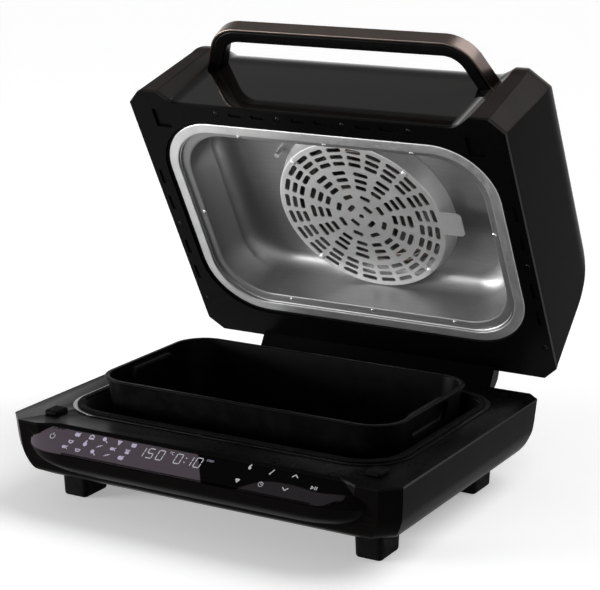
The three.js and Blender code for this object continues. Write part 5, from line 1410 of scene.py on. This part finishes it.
# %% [markdown]
# ## The fan cover
#
# A pressed steel disc hides the heater and the fan. It has rings of rounded slots. This is exactly what
# Geometry Nodes are good at: for each ring, a circle with as many points as slots, one slot tool turned
# and placed on each point, and a single Mesh Boolean that cuts them all.


# %% Write a node tree that cuts rings of slots
def node_tree(name, **inputs):
    """A node tree with a mesh going in and out, and with more inputs of the given kinds."""
    tree = bpy.data.node_groups.new(name, "GeometryNodeTree")
    tree.interface.new_socket("Geometry", in_out="INPUT", socket_type="NodeSocketGeometry")
    for socket, kind in inputs.items():
        tree.interface.new_socket(socket, in_out="INPUT", socket_type=kind)
    tree.interface.new_socket("Geometry", in_out="OUTPUT", socket_type="NodeSocketGeometry")
    return tree, add_node(tree, "NodeGroupInput"), add_node(tree, "NodeGroupOutput")


def run_tree(piece, tree, **values):
    """Runs a node tree on a piece and keeps the mesh it makes."""
    modifier = piece.modifiers.new("nodes", "NODES")
    modifier.node_group = tree
    for item in tree.interface.items_tree:
        if item.name in values:
            modifier[item.identifier] = values[item.name]
    return bake(piece)


def ring_nodes(tree, tool, radius, count, length, phase):
    """Nodes that stand the slot tool on each point of one ring."""
    points = add_node(tree, "GeometryNodeMeshCircle", {"Vertices": count, "Radius": radius})
    turned = add_node(tree, "GeometryNodeTransform", {"Rotation": (0, 0, phase)})
    index = add_node(tree, "GeometryNodeInputIndex")
    angle = add_math(tree, "MULTIPLY_ADD", {1: 2 * math.pi / count, 2: phase})
    rotation = add_node(tree, "ShaderNodeCombineXYZ")
    stand = add_node(tree, "GeometryNodeInstanceOnPoints", {"Scale": (1, length, 1)})
    wire(
        tree, (points, "Mesh", turned, "Geometry"), (turned, "Geometry", stand, "Points"),
        (index, "Index", angle, 0), (angle, "Value", rotation, "Z"),
        (rotation, "Vector", stand, "Rotation"), (tool, "Geometry", stand, "Instance"),
    )
    return stand


def slot_tree(rings, material):
    tree, given, made = node_tree("slot_rings", Tool="NodeSocketObject", Height="NodeSocketFloat")
    tool = add_node(tree, "GeometryNodeObjectInfo")
    together = add_node(tree, "GeometryNodeJoinGeometry")
    for ring in rings:
        wire(tree, (ring_nodes(tree, tool, *ring), "Instances", together, "Geometry"))
    place = add_node(tree, "ShaderNodeCombineXYZ", {"Y": FAN_Y})
    moved = add_node(tree, "GeometryNodeTransform")
    real = add_node(tree, "GeometryNodeRealizeInstances")
    cutter = add_node(tree, "GeometryNodeMeshBoolean")
    cutter.operation = "DIFFERENCE"
    cutter.solver = "EXACT"
    whole = add_node(tree, "GeometryNodeRealizeInstances")
    coat = add_node(tree, "GeometryNodeSetMaterial", {"Material": material})
    wire(
        tree, (given, "Tool", tool, "Object"), (given, "Height", place, "Z"),
        (together, "Geometry", moved, "Geometry"), (place, "Vector", moved, "Translation"),
        (moved, "Geometry", real, "Geometry"), (given, "Geometry", cutter, "Mesh 1"),
        (real, "Geometry", cutter, "Mesh 2"), (cutter, "Mesh", whole, "Geometry"),
        (whole, "Geometry", coat, "Geometry"), (coat, "Geometry", made, "Geometry"),
    )
    return tree


# %% Build the disc and cut its slots
DISC_Z, DISC_RADIUS, SKIRT_RADIUS, DISC_WALL = 136.0, 99.0, 104.0, 1.2
TAB_HALF, TAB_LENGTH, TAB_SUNK, TAB_ROUND, TAB_THICK = 15.0, 22.0, 4.0, 5.0, 1.4
TAB_SHIFT = 3.0
SLOT_WIDTH = 5.6
DISC_STEPS = 96
COVER_EDGE, COVER_EDGE_ANGLE = 0.22, math.radians(40)
HUB_HOLE, TURN_IN, TURN_RISE = 3.0, 2.0, 0.5
PILL_STEPS, PILL_CAP = 6, 0.18
SLOT_RINGS = [
    (14.0, 4, 8.5, math.radians(45)),
    (27.0, 8, 9.0, math.radians(22.5)),
    (40.5, 14, 9.5, math.radians(0)),
    (49.8, 14, 11.0, math.radians(0)),
    (59.0, 14, 12.5, math.radians(0)),
    (71.5, 24, 11.0, math.radians(7.5)),
    (80.5, 24, 12.0, math.radians(7.5)),
    (89.5, 24, 13.0, math.radians(7.5)),
]

skirt_top = roof_z - MERGED_GAP
cover_profile = [
    (HUB_HOLE, DISC_Z), (DISC_RADIUS - TURN_IN, DISC_Z), (DISC_RADIUS - 0.6, DISC_Z + TURN_RISE),
    (DISC_RADIUS, DISC_Z + TURN_IN), (SKIRT_RADIUS, skirt_top), (SKIRT_RADIUS - DISC_WALL, skirt_top),
    (DISC_RADIUS - DISC_WALL, DISC_Z + 2.4), (DISC_RADIUS - 2.4, DISC_Z + DISC_WALL),
    (HUB_HOLE, DISC_Z + DISC_WALL),
]
cover = loft(
    "slotted_fan_cover", [(circle(radius, DISC_STEPS, FAN_Y), z) for radius, z in cover_profile],
    closed=True)
tab_outline = rounded_rect(
    (TAB_LENGTH + TAB_SUNK) / 2, TAB_HALF, TAB_ROUND, FAN_Y - TAB_SHIFT,
    DISC_RADIUS + (TAB_LENGTH - TAB_SUNK) / 2, 6,
)
join(cover, prism("tab", tab_outline, DISC_Z, DISC_Z + TAB_THICK))

pill = []
for end, start in ((1, 0), (-1, 180)):
    for i in range(PILL_STEPS + 1):
        angle = math.radians(start + 180 * i / PILL_STEPS)
        pill.append((SLOT_WIDTH / 2 * math.cos(angle), end * 0.5 + PILL_CAP * math.sin(angle)))
slot_tool = prism("slot_tool", pill, -OVERRUN, OVERRUN * 2)
run_tree(cover, slot_tree(SLOT_RINGS, cover_steel), Tool=slot_tool, Height=DISC_Z)
bpy.data.objects.remove(slot_tool)
soften(cover, COVER_EDGE, 2, COVER_EDGE_ANGLE)
seat(cover, "lid", "brushed_steel", cover_steel, ["fan_cover"], on_lid=True)
print("fan cover faces", len(cover.data.polygons))

# %% [markdown]
# ## Screws and rivets
#
# Many small fasteners hold the rim, the cover and the lining. One screw head and one rivet are made,
# and a short node tree stands a copy of them on every point of a list. The bezel screws of the CAD
# model give their own places.


# %% Write a node tree that repeats a fastener
def scatter(name, points, master, material):
    tree, given, made = node_tree("fasteners", Fastener="NodeSocketObject")
    info = add_node(tree, "GeometryNodeObjectInfo")
    stand = add_node(tree, "GeometryNodeInstanceOnPoints")
    real = add_node(tree, "GeometryNodeRealizeInstances")
    coat = add_node(tree, "GeometryNodeSetMaterial", {"Material": material})
    wire(
        tree, (given, "Fastener", info, "Object"), (given, "Geometry", stand, "Points"),
        (info, "Geometry", stand, "Instance"), (stand, "Instances", real, "Geometry"),
        (real, "Geometry", coat, "Geometry"), (coat, "Geometry", made, "Geometry"),
    )
    piece = run_tree(mesh_piece(name, points, []), tree, Fastener=master)
    shade(piece)
    return piece


def screw_master(radius, height, steps=24):
    """A low domed head that hangs from height 0, with a cross cut into it."""
    profile = [(radius, 0), (radius, -height * 0.45), (radius * 0.9, -height * 0.75), (radius * 0.6, -height)]
    head = loft("screw_head", [(circle(r, steps), z) for r, z in profile])
    for size in ((radius * 0.5, radius * 0.12), (radius * 0.12, radius * 0.5)):
        cut(head, block("cross", (-size[0], -size[1], -height - 1), (size[0], size[1], -height * 0.5)))
    return head


def node_middles(names):
    """The middles of CAD screws, in millimetres about the base's middle."""
    boxes = [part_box(name) for name in names]
    return [to_frame.inverted() @ ((low + high) / 2) for low, high in boxes]


# %% Place the rim screws, the cover screws and the base screws
SCREW_RADIUS, SCREW_HEAD, SCREW_SUNK = 3.2, 1.4, 0.05
master = screw_master(SCREW_RADIUS, SCREW_HEAD)
closed = turn_open.inverted()

rim_screws = ["bezel_screw_%d" % i for i in range(1, 9)]
rim_points = [closed @ p for p in node_middles(rim_screws)]
rim_level = LID_Z + SCREW_HEAD + MERGED_GAP
piece = scatter("rim_screws", [(p.x, p.y, rim_level) for p in rim_points], master, dark_screw)
seat(piece, "lid", "brushed_steel", dark_screw, rim_screws, on_lid=True)

cover_screws = ["fan_cover_screw_%d" % i for i in range(1, 5)]
cover_points = [closed @ p for p in node_middles(cover_screws)]
cover_level = DISC_Z - SCREW_SUNK
piece = scatter("cover_screws", [(p.x, p.y, cover_level) for p in cover_points], master, cover_steel)
seat(piece, "lid", "brushed_steel", cover_steel, cover_screws, on_lid=True)

base_screws = ["base_screw_%d" % i for i in range(1, 5)]
plate_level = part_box("bottom_cover")[0].z / MM - SCREW_SUNK
points = [(p.x, p.y, plate_level) for p in node_middles(base_screws)]
piece = scatter("base_plate_screws", points, master, bright_steel)
seat(piece, "base", "brushed_steel", bright_steel, base_screws)
bpy.data.objects.remove(master)

# %% Place the rivets on the lining's ledge
RIVET_RADIUS, RIVET_HEIGHT, RIVET_STEPS, RIVET_LIFT = 2.6, 1.3, 6, 0.6
RIVETS = [(-98, 120.5), (5, 120.5), (105, 120.5), (-98, -109.5), (5, -109.5), (105, -109.5),
          (-177.0, 3), (177.0, -12)]
rivet = loft("rivet", [
    (circle(RIVET_RADIUS * math.cos(a), 20), -RIVET_HEIGHT * math.sin(a))
    for a in [math.radians(85) * i / RIVET_STEPS for i in range(RIVET_STEPS + 1)]
])
rivet_points = [(x, y, ledge_z + RIVET_LIFT) for x, y in RIVETS]
piece = scatter("lining_rivets", rivet_points, rivet, bright_steel)
bpy.data.objects.remove(rivet)
seat(piece, "lid", "brushed_steel", bright_steel, on_lid=True)

# %% [markdown]
# ## Heater, sensor and fan
#
# Behind the slots lie a coiled heating element and a fan. The element is one tube: down from the
# pocket's roof, twice round, and up again. A curve with a round bevel follows that path well.

# %% Bend the heating element
COIL_TUBE, COIL_OUTER, COIL_INNER, COIL_TURNS, COIL_DROP = 3.2, 85.0, 67.0, 2, 21.0
COIL_STEPS = 40
coil_z = pocket_z - COIL_DROP
coil_top = pocket_z - MERGED_GAP


def coil_point(turn, z):
    angle = 2 * math.pi * turn
    radius = COIL_OUTER + (COIL_INNER - COIL_OUTER) * turn / COIL_TURNS
    return (radius * math.cos(angle), FAN_Y + radius * math.sin(angle), z)


path = [coil_point(0, coil_top), coil_point(0, (coil_top + coil_z) / 2)]
path += [coil_point(i / COIL_STEPS, coil_z) for i in range(3, COIL_TURNS * COIL_STEPS - 2)]
path += [coil_point(COIL_TURNS, (coil_top + coil_z) / 2), coil_point(COIL_TURNS, coil_top)]
coil = bpy.data.curves.new("coil", "CURVE")
coil.dimensions = "3D"
coil.bevel_depth = COIL_TUBE
coil.bevel_resolution = 3
coil.resolution_u = 2
coil.use_fill_caps = True
line = coil.splines.new("BEZIER")
line.bezier_points.add(len(path) - 1)
for knot, point in zip(line.bezier_points, path):
    knot.co = point
    knot.handle_left_type = knot.handle_right_type = "AUTO"
holder = new_piece("coil", coil)
view = bpy.context.evaluated_depsgraph_get()
heater = new_piece("heater_coil", bpy.data.meshes.new_from_object(holder.evaluated_get(view)))
bpy.data.objects.remove(holder)
heater.data.shade_smooth()
seat(heater, "lid", "heater_steel", heater_steel, ["heating_element"], on_lid=True)

# %% Finish the inner parts in place
for node, material in (
    ("temperature_sensor", ring_steel), ("motor_bracket", lining_steel), ("fan_motor", motor_grey),
    ("fan_shaft", bright_steel), ("fan_impeller", heater_steel), ("cooling_fan", satin_black),
    ("display_board", board_green), ("power_board", board_green),
    ("hinge_pin_left", bright_steel), ("hinge_pin_right", bright_steel),
    ("hinge_spring_left", bright_steel), ("hinge_spring_right", bright_steel),
):
    part = frame["nodes"][node]
    part.data.materials.clear()
    part.data.materials.append(material)

# %% [markdown]
# ## The handle
#
# The handle is a square bar that bends at both ends and runs back into the scoop of the lid. Its front
# face carries a strip of bronze-coloured metal. Both are made from one centre line, moved by different
# distances, so they follow each other exactly round the bends.

# %% Build the bar and its strip
HANDLE_FRONT, HANDLE_SECTION, HANDLE_LOW_Z, HANDLE_HEIGHT = 191.0, 17.0, 176.0, 17.0
HANDLE_STRAIGHT, HANDLE_BEND, HANDLE_SPLAY, HANDLE_LEG = 120.0, 40.0, math.radians(24), 52.0
HANDLE_STEPS = 20
STRIP_THICKNESS = 3.0
BAR_EDGE, STRIP_EDGE, HANDLE_EDGE_STEPS, HANDLE_EDGE_ANGLE = 1.8, 1.0, 4, math.radians(50)


def handle_line(in_by):
    centre = Vector((HANDLE_STRAIGHT, -HANDLE_FRONT + HANDLE_BEND))
    radius = HANDLE_BEND - in_by
    turn = math.pi / 2 - HANDLE_SPLAY
    right = []
    for i in range(HANDLE_STEPS + 1):
        angle = -math.pi / 2 + turn * i / HANDLE_STEPS
        right.append((centre.x + radius * math.cos(angle), centre.y + radius * math.sin(angle)))
    x, y = right[-1]
    right.append((x + HANDLE_LEG * math.sin(HANDLE_SPLAY), y + HANDLE_LEG * math.cos(HANDLE_SPLAY)))
    return [(-x, y) for x, y in reversed(right)] + right


def handle_layer(name, front, back, width):
    outline = handle_line(front) + handle_line(back)[::-1]
    layer = prism(name, outline, HANDLE_LOW_Z, HANDLE_LOW_Z + HANDLE_HEIGHT)
    soften(layer, width, HANDLE_EDGE_STEPS, HANDLE_EDGE_ANGLE, tidy=False)
    cut(layer, lid_solid("lid", MERGED_GAP, HANDLE_LOW_Z - LID_ROUND))
    shade(layer)
    return layer


bar = handle_layer("handle_grip_bar", STRIP_THICKNESS + MERGED_GAP, HANDLE_SECTION, BAR_EDGE)
seat(bar, "lid", "satin_black", handle_black, ["handle_bar"], on_lid=True)
strip = handle_layer("handle_bronze_strip", 0, STRIP_THICKNESS, STRIP_EDGE)
seat(strip, "lid", "bronze_trim", bronze, ["handle_trim"], on_lid=True)

# %% Dress the hinge arm
dress("hinge_arm", "lid_hinge_arm", "lid", "satin_black", satin_black, 0.8)

# %% [markdown]
# ## Floor, world and lights
#
# The oven stands on a plain white floor. The floor and the world look white where the camera or a
# reflection sees them, through a Light Path node. As light sources they are much dimmer, and the world
# fades overhead, so that the black stays black. One large lamp at the left gives a long soft reflection,
# and a wide soft sun falls in from behind, as from a ceiling panel.


# %% Find the rays that see the background
def seen_directly(tree):
    """1 for rays that show the background: from the camera, a mirror-like surface or glass."""
    rays = add_node(tree, "ShaderNodeLightPath")
    first, second = add_math(tree, "MAXIMUM"), add_math(tree, "MAXIMUM")
    wire(
        tree, (rays, "Is Camera Ray", first, 0), (rays, "Is Glossy Ray", first, 1),
        (first, "Value", second, 0), (rays, "Is Transmission Ray", second, 1),
    )
    return second


# %% Lay the floor
FLOOR_SIZE, FLOOR_WHITE, FLOOR_GLOW = 12.0, 0.90, 0.34
corners = [(-1, -1), (1, -1), (1, 1), (-1, 1)]
floor = mesh_piece("floor", [(FLOOR_SIZE * x, FLOOR_SIZE * y, 0) for x, y in corners], [(0, 1, 2, 3)])
floor_white = bpy.data.materials.new("floor_white")
floor_white.use_nodes = True
tree = floor_white.node_tree
tree.nodes.remove(tree.nodes["Principled BSDF"])
paint = add_node(tree, "ShaderNodeBsdfDiffuse", {"Color": (FLOOR_WHITE, FLOOR_WHITE, FLOOR_WHITE, 1)})
glow = add_node(tree, "ShaderNodeEmission")
level = add_math(tree, "MULTIPLY", {1: FLOOR_GLOW})
both = add_node(tree, "ShaderNodeAddShader")
wire(
    tree, (seen_directly(tree), "Value", level, 0), (level, "Value", glow, "Strength"),
    (paint, "BSDF", both, 0), (glow, "Emission", both, 1),
    (both, "Shader", tree.nodes["Material Output"], "Surface"),
)
floor.data.materials.append(floor_white)

# %% Light the world, white where it is seen
WORLD_LEVEL, CEILING_LEVEL = 0.25, 0.29
CEILING_START, CEILING_FULL = 0.25, 0.65
world = bpy.data.worlds.new("studio")
bpy.context.scene.world = world
world.use_nodes = True
tree = world.node_tree
background = tree.nodes["Background"]
background.inputs["Color"].default_value = (1, 1, 1, 1)
direction = add_node(tree, "ShaderNodeTexCoord")
upward = add_node(tree, "ShaderNodeSeparateXYZ")
ceiling = add_node(tree, "ShaderNodeMapRange", {
    "From Min": CEILING_START, "From Max": CEILING_FULL, "To Min": 1.0, "To Max": CEILING_LEVEL})
ceiling.interpolation_type = "SMOOTHSTEP"
strength = add_node(tree, "ShaderNodeMapRange", {"To Min": WORLD_LEVEL})
wire(
    tree, (direction, "Generated", upward, "Vector"), (upward, "Z", ceiling, "Value"),
    (ceiling, "Result", strength, "To Max"), (seen_directly(tree), "Value", strength, "Value"),
    (strength, "Result", background, "Strength"),
)


# %% Hang the lamp and let soft light fall from behind
LAMP_PLACE, LAMP_AIM, LAMP_SIZE, LAMP_POWER = Vector((-2.0, -1.5, 0.20)), Vector((0, 0, 0.2)), (1.2, 0.6), 85
SUN_FALL, SUN_SOFTNESS, SUN_POWER = Vector((-0.45, -0.40, -0.80)), math.radians(50), 1.8


def hang(light, name, place, fall):
    """Hangs a light so that it shines along a direction."""
    hung = bpy.data.objects.new(name, light)
    hung.location = place
    hung.rotation_euler = fall.to_track_quat("-Z", "Y").to_euler()
    bpy.context.scene.collection.objects.link(hung)


lamp = bpy.data.lights.new("key_lamp", "AREA")
lamp.shape = "RECTANGLE"
lamp.size, lamp.size_y = LAMP_SIZE
lamp.energy = LAMP_POWER
hang(lamp, "key_lamp", LAMP_PLACE, LAMP_AIM - LAMP_PLACE)

sun = bpy.data.lights.new("ceiling_panel", "SUN")
sun.energy = SUN_POWER
sun.angle = SUN_SOFTNESS
hang(sun, "ceiling_panel", (0, 0, 0), SUN_FALL)

# %% Set the view
bpy.context.scene.view_settings.view_transform = "Standard"
